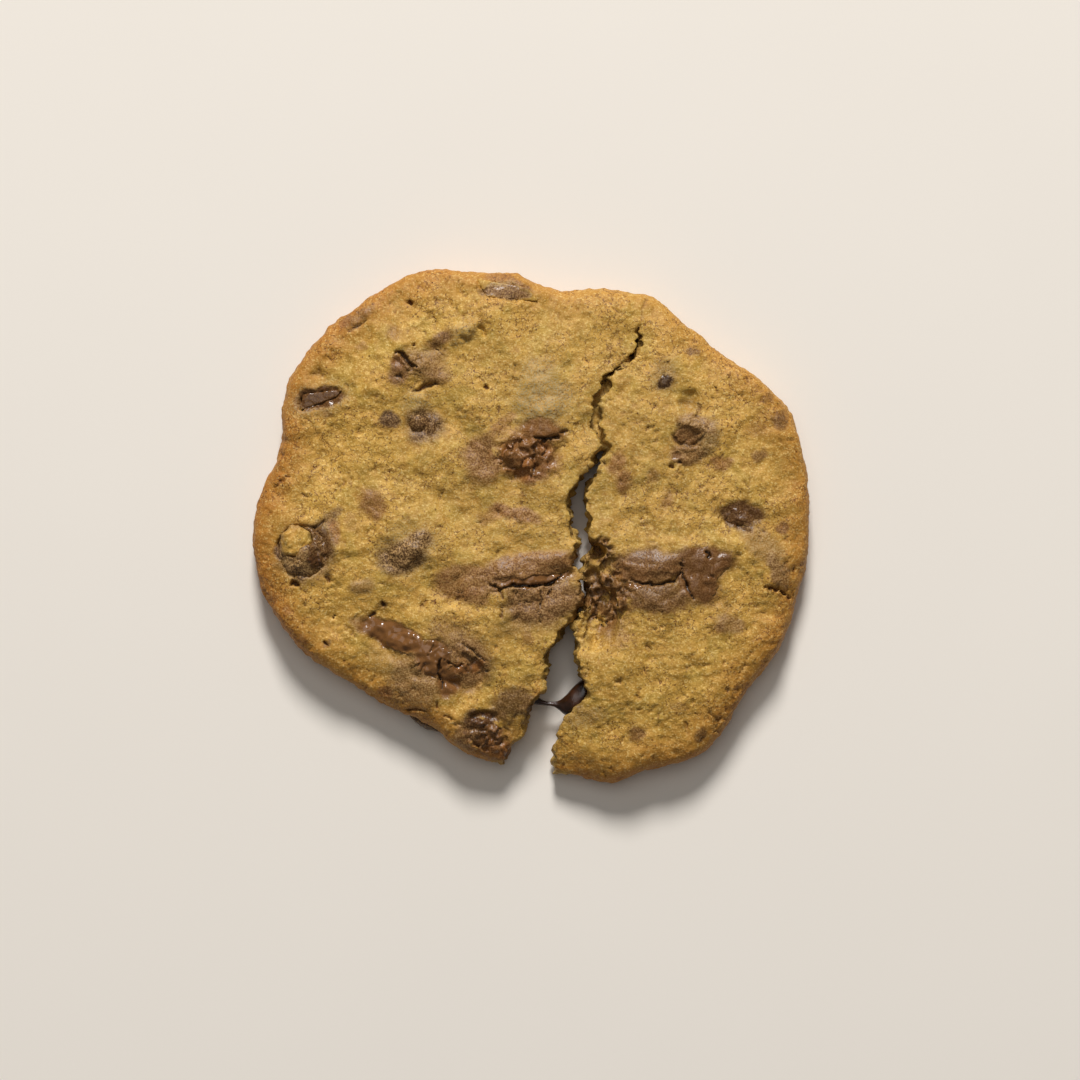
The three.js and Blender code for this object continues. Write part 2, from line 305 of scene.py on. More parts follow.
@dataclass(frozen=True)
class Area:
    """A rounded area of the cookie's top.

    Attributes:
        x, y: Its middle.
        length, width: Its size.
        turn: Which way its length runs.
    """

    x: float
    y: float
    length: float
    width: float
    turn: float

    def spread(self, x: Array, y: Array) -> Array:
        """Measures points from the middle.

        Args:
            x, y: Where the points are.

        Returns:
            How far they are from it, in shares of the area's size.
        """
        turn = math.radians(self.turn)
        along = (x - self.x) * math.cos(turn) + (y - self.y) * math.sin(turn)
        across = (y - self.y) * math.cos(turn) - (x - self.x) * math.sin(turn)
        return np.hypot(along / (self.length / 2), across / (self.width / 2))


@dataclass(frozen=True)
class Patch(Area):
    """An area with chocolate in the surface or just under it.

    Attributes:
        cocoa: How much of the chocolate shows, 0 to 1; below 0 it is dough that covers chocolate.
        tone: The chocolate's colour, from 0, red-brown crumb, to 1, dark.
        melt: How smooth and glossy it has melted, 0 to 1.
        lift: How far it swells up.
        soft: How softly it fades out.
        bloom: How much pale grey dust it has, 0 to 1.
    """

    cocoa: float
    tone: float = 0.3
    melt: float = 0.0
    lift: float = 0.0
    soft: float = 0.3
    bloom: float = 0.0


@dataclass(frozen=True)
class Break(Area):
    """An area broken into angular bits.

    Attributes:
        size: How wide a bit is.
        height: How far the bits differ in height.
        crumbs: Which share of the bits is dough.
        tones: How far the bits differ in tone.
    """

    size: float
    height: float
    crumbs: float = 0.0
    tones: float = 0.35

    def share(self, x: Array, y: Array) -> Array:
        """Gives 1 well inside the area and 0 outside it."""
        return smooth_step(1.15, 0.8, self.spread(x, y))


def from_leg(start: Spot, end: Spot, x: Array, y: Array) -> tuple[Array, Array]:
    """Measures points against one straight leg of a route.

    Args:
        start, end: The leg's ends.
        x, y: Where the points are.

    Returns:
        How far along the leg each point is, 0 to 1, and how far from it.
    """
    dx, dy = end[0] - start[0], end[1] - start[1]
    along = np.clip(((x - start[0]) * dx + (y - start[1]) * dy) / (dx * dx + dy * dy), 0.0, 1.0)
    return along, np.hypot(x - start[0] - along * dx, y - start[1] - along * dy)


@dataclass(frozen=True)
class Slit:
    """A narrow fissure that fades out at both ends.

    Attributes:
        route: Points that it runs through.
        width: Its width.
        depth: Its depth.
    """

    route: tuple[Spot, ...]
    width: float
    depth: float

    def share(self, x: Array, y: Array) -> Array:
        """Says which points are in the slit.

        Args:
            x, y: Where the points are.

        Returns:
            1 in the slit's middle and 0 outside it.
        """
        best = np.full(len(x), 9.0)
        legs = list(zip(self.route[:-1], self.route[1:]))
        for number, (start, end) in enumerate(legs):
            along, away = from_leg(start, end, x, y)
            whole = (number + along) / len(legs)
            taper = np.sqrt(np.clip(4.0 * whole * (1.0 - whole), 0.02, 1.0))
            best = np.minimum(best, away / (self.width / 2 * taper))
        return smooth_step(1.3, 0.5, best)


MIDDLE_CHUNK = (
    Patch(-7.9, 10.8, 6.4, 8.6, 0, 0.9, 0.15, lift=0.3, bloom=0.14),
    Patch(-4.4, 16.4, 5.2, 2.4, 40, 0.6, 0.05, lift=0.1),
    Patch(2.1, 15.5, 7.6, 3.4, -12, 1.0, 0.3, 0.75, 0.6),
    Patch(-0.4, 11.2, 10.4, 8.6, 0, 1.0, 0.12, 0.6, -0.1),
    Patch(0.4, 7.9, 4.4, 2.4, 0, 0.95, 0.25, 0.3, 0.2, bloom=0.1),
    Patch(-6.0, 12.1, 1.3, 1.7, 0, -0.9),
    Patch(2.1, 20.6, 9.4, 8.4, 0, 0.1, 0.66, lift=0.35, soft=0.4, bloom=0.8),
    Patch(1.3, 25.6, 5.4, 4.0, 0, 0.1, 0.66, soft=0.5, bloom=0.45),
)
BELOW_MIDDLE = (
    Patch(6.0, 6.0, 50.0, 52.0, 0, 0.02, 0.5, soft=0.6, bloom=0.16),
    Patch(-6.2, 1.6, 5.4, 2.2, 25, 0.55, 0.0, lift=0.1),
    Patch(-2.4, 1.8, 8.6, 2.4, -14, 0.88, 0.06, lift=0.2, bloom=0.1),
    Patch(-0.4, -18.8, 2.4, 2.0, 0, 0.5, 0.1),
    Patch(-12.4, -18.4, 9.0, 4.4, -20, 0.6, 0.25, soft=0.6, bloom=0.15),
)
BAND_LEFT = (
    Patch(-0.4, -6.9, 17.4, 4.4, 9, 0.97, 0.2, 0.15, 0.9, bloom=0.12),
    Patch(1.4, -9.2, 12.6, 2.2, 9, 1.0, 0.35, 1.0, 0.25),
    Patch(-4.2, -9.6, 6.4, 3.0, 5, 0.97, 0.35, 0.2),
    Patch(-11.2, -9.5, 9.4, 6.2, 5, 0.84, 0.15, lift=0.2, bloom=0.1),
    Patch(-9.0, -11.8, 6.4, 3.2, 5, 0.78, 0.2, lift=0.1),
    Patch(2.0, -12.6, 13.6, 7.6, 8, 0.95, 0.3, lift=0.35, bloom=0.12),
    Patch(-5.3, -12.2, 3.2, 1.9, 10, -0.85),
    Patch(0.0, -16.4, 12.0, 3.4, 8, 0.45, 0.3, soft=0.5, bloom=0.1),
)
BAND_RIGHT = (
    Patch(12.2, -12.4, 8.6, 10.8, 0, 0.94, 0.32, 0.3, soft=0.35),
    Patch(11.4, -4.1, 4.6, 4.0, 0, 0.92, 0.35, 0.1),
    Patch(19.6, -6.8, 13.0, 5.6, -2, 0.98, 0.46, 0.3, 0.6),
    Patch(16.8, -8.0, 6.0, 3.0, -14, 1.0, 0.2, 0.5),
    Patch(20.6, -11.9, 12.4, 5.8, -4, 0.92, 0.5, 0.2, 0.3),
    Patch(17.0, -10.1, 3.4, 1.0, 0, 1.0, 0.2, 0.95),
    Patch(29.2, -6.0, 8.6, 5.4, -6, 1.0, 0.48, 0.6, 0.4),
    Patch(28.0, -9.6, 6.0, 7.6, 10, 1.0, 0.48, 0.6, 0.3),
    Patch(25.6, -8.0, 3.4, 8.0, 5, 1.0, 0.4, 0.2),
    Patch(31.0, -13.0, 5.0, 2.6, -20, 0.3, 0.3, soft=0.5),
    Patch(14.0, -18.4, 6.0, 4.0, 0, 0.4, 0.1, soft=0.6),
)
LOWER_LEFT = (
    Patch(-22.6, -18.4, 12.6, 4.6, -22, 1.0, 0.28, 1.0, 0.4, 0.2),
    Patch(-15.8, -22.2, 6.4, 6.2, -40, 1.0, 0.3, 1.0, 0.3, 0.2),
    Patch(-13.6, -26.4, 3.4, 5.4, -8, 1.0, 0.25, 0.9, 0.1),
    Patch(-18.6, -25.4, 9.4, 8.4, -30, 0.8, 0.3, lift=0.25, soft=0.4, bloom=0.35),
    Patch(-10.8, -22.6, 9.4, 7.4, -30, 0.92, 0.3, 0.15, 0.3, bloom=0.3),
    Patch(-10.4, -23.6, 5.4, 2.0, 10, 1.0, 0.2, 0.9, 0.2),
    Patch(-10.6, -26.2, 7.0, 3.4, 10, 0.6, 0.3, soft=0.4),
    Patch(-27.4, -16.6, 5.0, 2.6, -25, 0.55, 0.3, 0.2, bloom=0.2),
    Patch(-24.6, -22.2, 6.0, 3.4, -30, 0.3, 0.25, soft=0.6, bloom=0.15),
    Patch(-23.8, -27.7, 2.8, 2.2, 0, 0.85, 0.15, lift=-0.1),
    Patch(-24.2, -13.2, 1.4, 1.2, 0, 0.65, 0.7),
    Patch(-17.6, -31.0, 9.0, 3.2, -20, 0.2, 0.0, soft=0.6),
)
MOUTH = (
    Patch(-7.2, -34.2, 8.4, 6.8, 10, 0.97, 0.4, 0.45, 0.3),
    # Painted shade: dark chocolate laid where the overhang above the tip's chunk casts shade
    Patch(-8.6, -32.0, 5.2, 2.8, 10, 1.0, 0.95, 0.2, 0.6),
    Patch(-5.6, -36.4, 4.8, 5.6, -20, 0.92, 0.2, 0.5, 0.2),
    Patch(-4.2, -38.0, 2.0, 3.0, -30, 0.7, 0.05, 0.3),
    Patch(-10.6, -35.0, 4.6, 4.0, 20, 0.72, 0.3, lift=0.1, bloom=0.35),
    Patch(-3.0, -33.6, 2.4, 4.6, -10, -0.4),
    Patch(-2.9, -33.4, 1.8, 4.4, -10, 0.6, 0.1, 0.3),
    Patch(-2.9, -29.6, 7.6, 5.0, 15, 0.85, 0.7, 0.3, 0.1, bloom=0.2),
    Patch(8.8, -31.8, 6.5, 3.2, 10, 0.35, 0.6, soft=0.5, bloom=0.3),
    Patch(8.1, -27.6, 1.6, 5.4, -6, 0.95, 0.95, 0.6, soft=0.4),
)
UPPER_RIGHT = (
    Patch(27.2, 16.6, 6.4, 2.8, -14, 0.8, 0.25, lift=0.3, bloom=0.25),
    Patch(26.0, 14.6, 5.2, 3.4, 0, 0.95, 0.3, 0.2, -0.35, 0.4),
    Patch(29.4, 14.4, 3.4, 5.4, -10, 0.55, 0.35, lift=0.2, soft=0.5, bloom=0.5),
    Patch(25.9, 11.6, 6.6, 3.4, 6, 0.85, 0.25, lift=0.4, bloom=0.15),
    Patch(24.2, 11.3, 1.7, 1.2, 0, 0.9, 0.3, 0.7),
    Patch(26.0, 19.4, 3.2, 3.2, 0, 0.2, 0.3, 0.0, -0.6, 0.3, 0.45),
    Patch(31.5, 10.1, 3.6, 2.1, -15, 0.75, 0.05, lift=0.15),
    Patch(22.3, 23.5, 2.3, 2.1, 0, 1.0, 0.95, 0.9, 0.5, 0.2),
    Patch(22.2, 24.6, 4.4, 5.2, 0, 0.35, 0.5, soft=0.5, bloom=0.45),
    Patch(26.8, 28.5, 3.0, 0.9, 0, 0.75, 0.4),
    Patch(14.3, 10.0, 2.6, 4.0, -12, 0.8, 0.0, lift=0.1, soft=0.5),
    Patch(15.4, 7.0, 2.6, 3.6, -12, 0.85, 0.1, lift=0.1, soft=0.5),
    Patch(20.3, 8.1, 2.4, 2.4, 0, 0.6, 0.0, soft=0.5),
    Patch(22.5, 3.9, 2.2, 3.6, -20, 0.65, 0.12, soft=0.5),
    Patch(41.2, 17.0, 2.2, 3.8, 15, 0.75, 0.5),
    Patch(39.3, 21.0, 1.6, 1.8, 0, 0.5, 0.4),
    Patch(37.4, 15.7, 3.6, 2.4, 0, 0.4, 0.1, soft=0.5),
    Patch(38.1, 11.4, 2.8, 2.0, 20, 0.75, 0.3, lift=0.1),
)
RIGHT = (
    Patch(35.6, 1.9, 6.4, 3.6, -8, 0.97, 0.68, 0.45, 0.2),
    Patch(33.0, 1.4, 4.8, 3.4, -30, 0.95, 0.66, 0.4, 0.1),
    Patch(35.0, -0.4, 3.2, 2.4, 0, 0.9, 0.65, 0.3),
    Patch(38.3, -3.4, 9.4, 4.4, -45, 0.5, 0.3, lift=0.2, soft=0.4, bloom=0.4),
    Patch(40.8, -7.6, 6.2, 2.8, -55, 0.8, 0.35, lift=0.15, bloom=0.25),
    Patch(41.6, -0.5, 2.2, 2.0, 0, 0.8, 0.2),
    Patch(32.9, -16.4, 5.0, 3.2, -15, 0.75, 0.35, lift=0.1, bloom=0.2),
    Patch(30.9, -16.9, 1.8, 1.8, 0, 0.7, 0.2),
    Patch(17.5, -34.4, 2.8, 2.8, 0, 0.8, 0.3, 0.1, 0.1),
    Patch(28.1, -34.9, 2.6, 2.0, 30, 0.7, 0.7),
    Patch(24.2, -30.0, 3.0, 2.0, -30, 0.4, 0.25, soft=0.5),
)
UPPER_LEFT = (
    Patch(-17.7, 16.3, 6.4, 5.8, 0, 0.98, 0.7, 0.05, 0.35, bloom=0.22),
    Patch(-18.8, 20.2, 5.0, 4.0, 0, 0.05, 0.3, 0.0, 0.4, 0.5, 0.5),
    Patch(-23.2, 17.3, 3.0, 3.2, 0, 0.95, 0.75, 0.1, bloom=0.15),
    Patch(-21.6, 25.4, 3.4, 5.0, -20, 0.9, 0.3, 0.15, -0.2),
    Patch(-21.9, 26.9, 1.8, 2.6, 20, 0.8, 0.1, 0.3),
    Patch(-17.4, 26.2, 7.6, 4.6, -24, 0.78, 0.3, 0.05, 0.35, 0.5, 0.2),
    Patch(-15.4, 24.2, 4.6, 2.4, 20, 0.45, 0.1, lift=0.2, soft=0.6),
    Patch(-15.2, 30.4, 4.4, 2.2, 35, 0.85, 0.4, lift=0.1),
    Patch(-15.0, 28.2, 3.0, 2.6, 0, 0.5, 0.25, soft=0.6),
    Patch(-11.2, 31.8, 5.4, 3.8, 25, 0.05, 0.3, 0.0, 0.8, 0.5, 0.4),
    Patch(-13.8, 31.0, 2.6, 1.8, 40, 0.6, 0.3, lift=-0.2, soft=0.6),
    Patch(-34.7, 20.8, 9.4, 5.0, 14, 0.1, 0.6, soft=0.5, bloom=0.55),
    Patch(-33.4, 18.2, 2.2, 1.4, 0, 0.6, 0.4),
    Patch(-5.4, 41.0, 4.4, 1.5, 0, 0.6, 0.0, lift=-0.2),
    Patch(-2.0, 39.9, 5.4, 0.7, -22, 0.8, 0.15, lift=-0.2),
    Patch(-4.0, 38.4, 8.8, 2.2, -3, 1.0, 0.4, 0.5, 0.0, 0.15, 0.7),
    Patch(-4.9, 39.5, 5.6, 1.3, -2, 0.3, 0.3, 0.3, soft=0.4, bloom=0.8),
    Patch(-3.3, 37.4, 1.8, 1.2, 0, 1.0, 0.8, 0.3),
    Patch(-34.7, 20.8, 8.4, 4.0, 14, 1.0, 0.6, 0.9, soft=0.12),
    Patch(-36.2, 20.2, 3.0, 2.2, 14, 1.0, 0.85, 0.9, soft=0.3),
    Patch(-28.5, 34.2, 5.8, 2.0, 33, 0.6, 0.3, 0.2, 0.3, bloom=0.2),
    Patch(-30.4, 33.4, 2.6, 1.2, 33, 0.8, 0.0, 0.4),
    Patch(-27.5, 29.3, 2.4, 1.4, 0, 0.5, 0.1),
    Patch(-22.5, 31.6, 2.0, 2.6, 0, 0.5, 0.1, soft=0.5),
)
LEFT = (
    Patch(-26.1, 3.4, 3.8, 5.8, 15, 0.8, 0.15, lift=0.15, soft=0.4),
    Patch(-21.2, -5.5, 7.6, 5.4, 10, 0.97, 0.7, 0.05, 0.35, bloom=0.35),
    Patch(-18.5, -2.6, 5.0, 3.6, 30, 0.97, 0.7, 0.05, 0.3, bloom=0.35),
    Patch(-20.4, -4.0, 10.4, 8.4, 35, 0.1, 0.66, soft=0.4, bloom=0.4),
    Patch(-37.1, -4.8, 9.4, 9.6, 0, 0.86, 0.45, soft=0.25, bloom=0.45),
    Patch(-34.9, -3.4, 4.4, 6.4, 8, 1.0, 0.9, 0.6, soft=0.35),
    # Painted highlights: pale dust specks on the left chip stand in for its glints
    Patch(-35.1, -2.6, 1.9, 3.2, 15, 0.1, 0.5, soft=0.6, bloom=0.6),
    Patch(-35.4, -5.9, 2.6, 3.0, 0, 1.0, 0.8, 0.95),
    Patch(-38.4, -7.9, 3.6, 2.0, -18, 0.9, 0.8),
    Patch(-41.5, -4.1, 1.6, 2.8, 10, 0.95, 0.75),
    Patch(-37.2, -7.2, 5.6, 1.5, -20, 0.1, 0.3, soft=0.5, bloom=0.6),
    Patch(-39.9, -5.2, 2.2, 4.0, 20, 0.1, 0.3, soft=0.5, bloom=0.6),
    Patch(-32.4, -1.2, 2.2, 4.4, 10, 0.8, 0.05),
    Patch(-33.3, 1.0, 4.8, 2.2, 35, 0.7, 0.6, bloom=0.2),
    Patch(-27.8, -10.2, 3.8, 2.6, 10, 0.55, 0.4, 0.1, 0.25, 0.4, 0.3),
    Patch(-29.6, 0.4, 2.2, 3.0, 0, 0.3, 0.1, soft=0.5),
    Patch(-42.4, -11.6, 2.2, 1.2, -60, 0.5, 0.05),
    Patch(-40.1, -14.2, 1.8, 1.2, -60, 0.45, 0.05),
    Patch(-37.3, -19.0, 2.4, 1.3, -40, 0.55, 0.1),
    Patch(-33.8, -19.6, 1.4, 1.4, 0, 0.6, 0.3),
)
PATCHES = (
    MIDDLE_CHUNK + BELOW_MIDDLE + BAND_LEFT + BAND_RIGHT + LOWER_LEFT + MOUTH + UPPER_RIGHT + RIGHT
    + UPPER_LEFT + LEFT
)

SLITS = (
    Slit(((18.0, 33.2), (18.1, 31.3), (17.6, 29.6), (17.5, 28.4), (16.6, 27.3), (15.3, 26.2), (13.4, 24.8),
          (11.6, 23.0)), 0.8, 1.2),
    Slit(((0.2, 14.4), (2.4, 14.0), (5.1, 14.5)), 0.6, 1.3),
    Slit(((4.6, 15.2), (6.4, 15.3)), 0.4, 0.7),
    Slit(((-7.0, -9.9), (-4.6, -10.6), (-3.0, -10.0), (1.0, -10.1), (3.4, -9.8), (4.6, -8.9), (6.0, -7.6)),
         0.5, 1.0),
    Slit(((-5.2, -10.4), (-4.4, -12.4)), 0.5, 0.7),
    Slit(((1.6, -10.6), (1.9, -12.5), (1.3, -14.2), (1.6, -16.1)), 0.3, 0.8),
    Slit(((-4.6, -13.6), (-4.9, -15.0), (-4.2, -15.9)), 0.35, 0.7),
    Slit(((2.7, -11.6), (3.6, -10.4)), 0.35, 0.8),
    Slit(((16.2, -9.2), (18.5, -9.8), (21.2, -9.9), (23.9, -9.2), (24.9, -7.6)), 0.4, 1.0),
    Slit(((24.9, -7.6), (25.0, -5.6)), 0.35, 0.7),
    Slit(((24.9, -7.4), (25.3, -9.0), (25.9, -10.5), (27.4, -13.2)), 0.5, 0.9),
    Slit(((28.8, -4.3), (29.5, -5.0), (29.2, -5.6)), 0.6, 0.9),
    Slit(((23.0, 15.3), (24.1, 13.5), (26.2, 12.8), (27.7, 13.5), (28.9, 15.2)), 0.7, 0.35),
    Slit(((27.3, 20.2), (28.1, 19.0), (27.2, 17.5)), 0.7, 0.4),
    Slit(((24.4, 10.4), (24.8, 10.2)), 0.6, 0.9),
    Slit(((22.9, 9.9), (23.6, 9.4)), 0.6, 0.9),
    Slit(((-14.9, -22.2), (-15.1, -24.5), (-14.5, -27.5)), 0.4, 0.9),
    Slit(((-14.4, -22.2), (-12.4, -23.4), (-10.4, -22.9)), 0.3, 0.8),
    Slit(((-11.6, -19.4), (-9.4, -20.8), (-7.4, -22.6)), 0.35, 0.7),
    Slit(((-9.4, -24.6), (-6.7, -24.2)), 0.35, 0.6),
    Slit(((-26.7, -15.2), (-25.6, -14.5)), 0.5, 0.9),
    Slit(((-24.4, -12.6), (-24.1, -13.6)), 0.6, 0.9),
    Slit(((-24.4, -27.4), (-23.4, -28.2)), 0.4, 0.25),
    Slit(((-20.7, -30.6), (-18.8, -30.5), (-17.0, -31.0)), 0.4, 0.6),
    Slit(((-15.6, -29.3), (-15.3, -30.4)), 0.4, 0.7),
    Slit(((-14.2, -31.6), (-12.6, -32.2)), 0.35, 0.6),
    Slit(((-22.6, 28.3), (-21.2, 28.3), (-20.5, 27.0), (-19.7, 26.3), (-18.6, 25.7)), 0.75, 1.2),
    Slit(((-19.8, 26.3), (-19.5, 25.0)), 0.45, 0.6),
    Slit(((-22.6, 24.5), (-21.4, 24.5), (-20.8, 23.8)), 0.4, 0.6),
    Slit(((-19.7, 22.4), (-18.8, 22.0), (-17.9, 22.6), (-16.4, 22.9), (-15.0, 23.2)), 0.6, 0.7),
    Slit(((36.6, -6.4), (37.4, -8.0), (39.0, -10.4)), 0.25, 0.2),
    Slit(((38.4, -10.2), (41.1, -10.9), (43.4, -12.7)), 0.35, 0.9),
    Slit(((18.2, 33.6), (18.5, 35.5), (19.1, 37.6)), 0.5, 0.2),
    Slit(((-42.6, 6.0), (-41.0, 7.2), (-39.6, 8.2)), 0.4, 0.5),
    Slit(((-39.7, -10.0), (-38.9, -9.7), (-38.2, -10.0)), 0.7, 1.4),
    Slit(((-36.6, -0.8), (-35.6, -0.6), (-34.4, 0.2), (-33.4, 0.9)), 0.5, 0.6),
    Slit(((-19.4, 29.7), (-19.0, 29.5)), 0.8, 0.9),
    Slit(((-31.3, 31.4), (-29.2, 32.4), (-26.6, 34.0)), 0.3, 0.35),
    Slit(((-34.4, -19.2), (-33.3, -20.0)), 0.5, 0.8),
    Slit(((-32.3, -14.8), (-32.8, -16.2)), 0.3, 0.6),
    Slit(((-33.8, -8.4), (-33.0, -9.6)), 0.6, 0.7),
    Slit(((-19.9, 37.0), (-19.7, 36.2)), 0.8, 0.9),
    Slit(((-7.6, 22.9), (-7.1, 22.4)), 0.8, 0.8),
)

BREAKS = (
    Break(-0.4, 11.0, 10.0, 7.6, 0, 2.5, 0.8),
    Break(-10.4, -22.6, 8.0, 4.4, -20, 1.8, 0.2),
    Break(12.2, -12.0, 8.6, 10.4, 0, 1.5, 0.9, 0.18),
    Break(11.4, -4.1, 4.6, 4.4, 0, 1.1, 1.0, 0.1),
    Break(9.6, -17.4, 5.0, 7.6, 0, 1.4, 0.5, 0.8),
    Break(-6.8, -35.0, 8.4, 6.4, -20, 1.7, 0.5, 0.1),
)

# The split's middle line, from its blind end to its mouth, and half its width by place in Y
SPLIT_ROUTE = (
    (18.0, 32.0), (16.3, 27.0), (12.4, 23.5), (10.5, 19.0), (11.9, 13.2), (8.0, 5.5), (8.4, -0.5),
    (7.7, -7.0), (8.8, -12.0), (6.2, -18.6), (5.4, -25.0), (4.4, -29.6), (1.3, -35.0), (-0.4, -44.0),
)
SPLIT_HALF_WIDTH = ((-44, 4.6), (-30, 4.4), (-22, 2.6), (-16, 0.8), (14, 0.7), (33, 0.3))

# Layers of small swellings; a drift has those along X and those along Y
EDGE_DRIFT = (((0.75, 2.3, 1), (0.3, 0.8, 2)), ((0.75, 2.3, 3), (0.3, 0.8, 4)))
SLIT_DRIFT = (((0.3, 0.9, 5), (0.15, 0.4, 15)), ((0.3, 0.9, 6), (0.15, 0.4, 16)))
LUMPS = ((0.7, 6.5, 11), (0.36, 2.8, 12), (0.18, 1.2, 13))
MELTED_RIPPLES = ((0.3, 1.3, 25), (0.1, 0.6, 26))
CRUMBLY_WALL = ((0.9, 3.0, 17), (0.5, 1.3, 18), (0.3, 0.7, 19))
TEAR = ((0.9, 1.9, 51), (0.6, 0.8, 52))
FIRST_BREAK_SEED = 60


def from_split(points: Array) -> Array:
    """Gives roughly how far points are from the split's walls, in millimetres."""
    x, y = points[:, 0], points[:, 1]
    legs = zip(SPLIT_ROUTE[:-1], SPLIT_ROUTE[1:])
    nearest = np.min([from_leg(start, end, x, y)[1] for start, end in legs], axis=0)
    places, half_widths = zip(*SPLIT_HALF_WIDTH)
    return np.abs(nearest - np.interp(y, places, half_widths))


def torn(points: Array) -> Array:
    """Shifts everything near the split left and right, so that its walls run in jagged steps that match."""
    shift = swellings(points * (0.0, 1.0, 0.8), TEAR)
    moved = points.copy()
    moved[:, 0] += shift * smooth_step(3.5, 0.0, from_split(points))
    return moved


@dataclass
class Surface:
    """What shows at each point of the cookie's top.

    Attributes:
        cocoa, tone, melt, bloom: As for a patch.
        hollow_shade: How deep in a pit or fissure it is, 0 to 1, by which the material paints shade there.
        rise: How far it is raised or, below 0, sunk.
    """

    cocoa: Array
    tone: Array
    melt: Array
    bloom: Array
    hollow_shade: Array
    rise: Array

    @classmethod
    def at(cls, points: Array) -> "Surface":
        """Works the surface out at points.

        Args:
            points: The points in millimetres, one row each.

        Returns:
            The surface there.
        """
        flat = points * (1.0, 1.0, 0.0)
        surface = cls.patched(*wavering(flat, EDGE_DRIFT))
        surface.roughen(flat)
        for number, area in enumerate(BREAKS):
            surface.crumble(area, flat, FIRST_BREAK_SEED + number)
        surface.bloom *= 1.0 - 0.9 * surface.melt
        surface.cut(*wavering(flat, SLIT_DRIFT))
        return surface

    @classmethod
    def patched(cls, x: Array, y: Array) -> "Surface":
        """Lays the patches over smooth dough.

        Args:
            x, y: Where the points are.

        Returns:
            The surface there.
        """
        bare, cover, plain = np.ones((3, len(x)))
        melt, rise, hollow_shade, tones = np.zeros((4, len(x)))
        weights = np.full(len(x), 1e-6)
        for patch in PATCHES:
            spread = patch.spread(x, y)
            weight = smooth_step(1.0 + patch.soft, 1.0 - patch.soft, spread)
            if patch.cocoa < 0:
                cover *= 1.0 + patch.cocoa * weight
                continue
            bare *= 1.0 - patch.cocoa * weight
            plain *= 1.0 - patch.bloom * weight
            strength = weight * patch.cocoa ** 2
            tones += strength * patch.tone
            weights += strength
            melt = np.maximum(melt, patch.melt * smooth_step(1.05, 0.85, spread))
            rise += patch.lift * smooth_step(1.15, 0.3, spread)
        return cls((1.0 - bare) * cover, tones / weights, melt * cover, 1.0 - plain, hollow_shade, rise)

    @classmethod
    def even(cls, patch: Patch, count: int) -> "Surface":
        """Gives the same surface, a patch's, at each of so many points."""
        zero = np.zeros(count)
        return cls(zero + patch.cocoa, zero + patch.tone, zero + patch.melt, zero + patch.bloom, zero, zero)

    def roughen(self, flat: Array) -> None:
        """Adds lumps, creases, pits and crackle, or ripples where the chocolate has melted.

        Args:
            flat: The points, one row each.
        """
        dull = 1.0 - self.melt
        ridges = np.abs(clouds(flat, 1.7, 7))
        crease = smooth_step(0.07, 0.0, ridges) * smooth_step(0.18, 0.42, clouds(flat, 2.2, 8))
        near, second = cells(flat, 2.1, 9, 0.9)[:2]
        pit = smooth_step(0.26, 0.06, near) * smooth_step(0.02, 0.2, clouds(flat, 2.6, 10))
        crackle = smooth_step(0.1, 0.0, second - near) * smooth_step(-0.05, 0.3, clouds(flat, 4.5, 14))
        grain = 0.3 * crease + 0.35 * pit + 0.2 * crackle - 0.25 * near
        self.rise += swellings(flat, LUMPS) - grain * dull + swellings(flat, MELTED_RIPPLES) * self.melt
        # Painted shade in the creases, pits and crackle of the dull dough
        self.hollow_shade = np.maximum(np.maximum(crease, pit) * 0.6, crackle * 0.25) * dull

    def crumble(self, area: Break, flat: Array, seed: int) -> None:
        """Breaks an area into bits.

        Args:
            area: The area.
            flat: All points, one row each.
            seed: Picks the bits' pattern.
        """
        share = area.share(flat[:, 0], flat[:, 1])
        inside = np.flatnonzero(share > 0)
        if not len(inside):
            return
        share = share[inside]
        near, second, chance, tilt = cells(flat[inside], area.size, seed, 0.6)
        gap = smooth_step(0.14, 0.02, second - near) * (chance > 0.4)
        self.rise[inside] += share * (area.height * ((chance - 0.5) + 1.3 * tilt - 0.3 * gap))
        # Painted shade in the gaps between the bits
        self.hollow_shade[inside] = np.maximum(self.hollow_shade[inside], share * gap * 0.5)
        lightness, kind = (np.modf(chance * factor)[0] for factor in FURTHER_CHANCES)
        self.tone[inside] += share * area.tones * (lightness - 0.5)
        dough = (kind < area.crumbs) * share
        self.cocoa[inside] *= 1.0 - 0.95 * dough
        self.melt[inside] *= 1.0 - dough

    def cut(self, x: Array, y: Array) -> None:
        """Cuts the slits.

        Args:
            x, y: Where the points are.
        """
        for fissure in SLITS:
            share = fissure.share(x, y)
            # Painted shade deep in the slit
            self.hollow_shade = np.maximum(self.hollow_shade, share * min(1.0, 0.3 + 0.8 * fissure.depth))
            self.rise -= share * fissure.depth

    def paint(self, piece: Piece, top: Array, browned: Array, inner: Array) -> None:
        """Stores the surface on a piece's points.

        Args:
            piece: The piece.
            top: How far each point belongs to the top, 0 to 1.
            browned: How browned the oven left the dough there, on the rim's right side also painted shade.
            inner: How far it is torn dough.
        """
        shown = (self.cocoa * top, self.tone, self.melt * top, self.bloom * top, self.hollow_shade * top)
        for name, values in zip(PAINTED, (*shown, browned, inner)):
            paint(piece, name, values)


# ---- shading


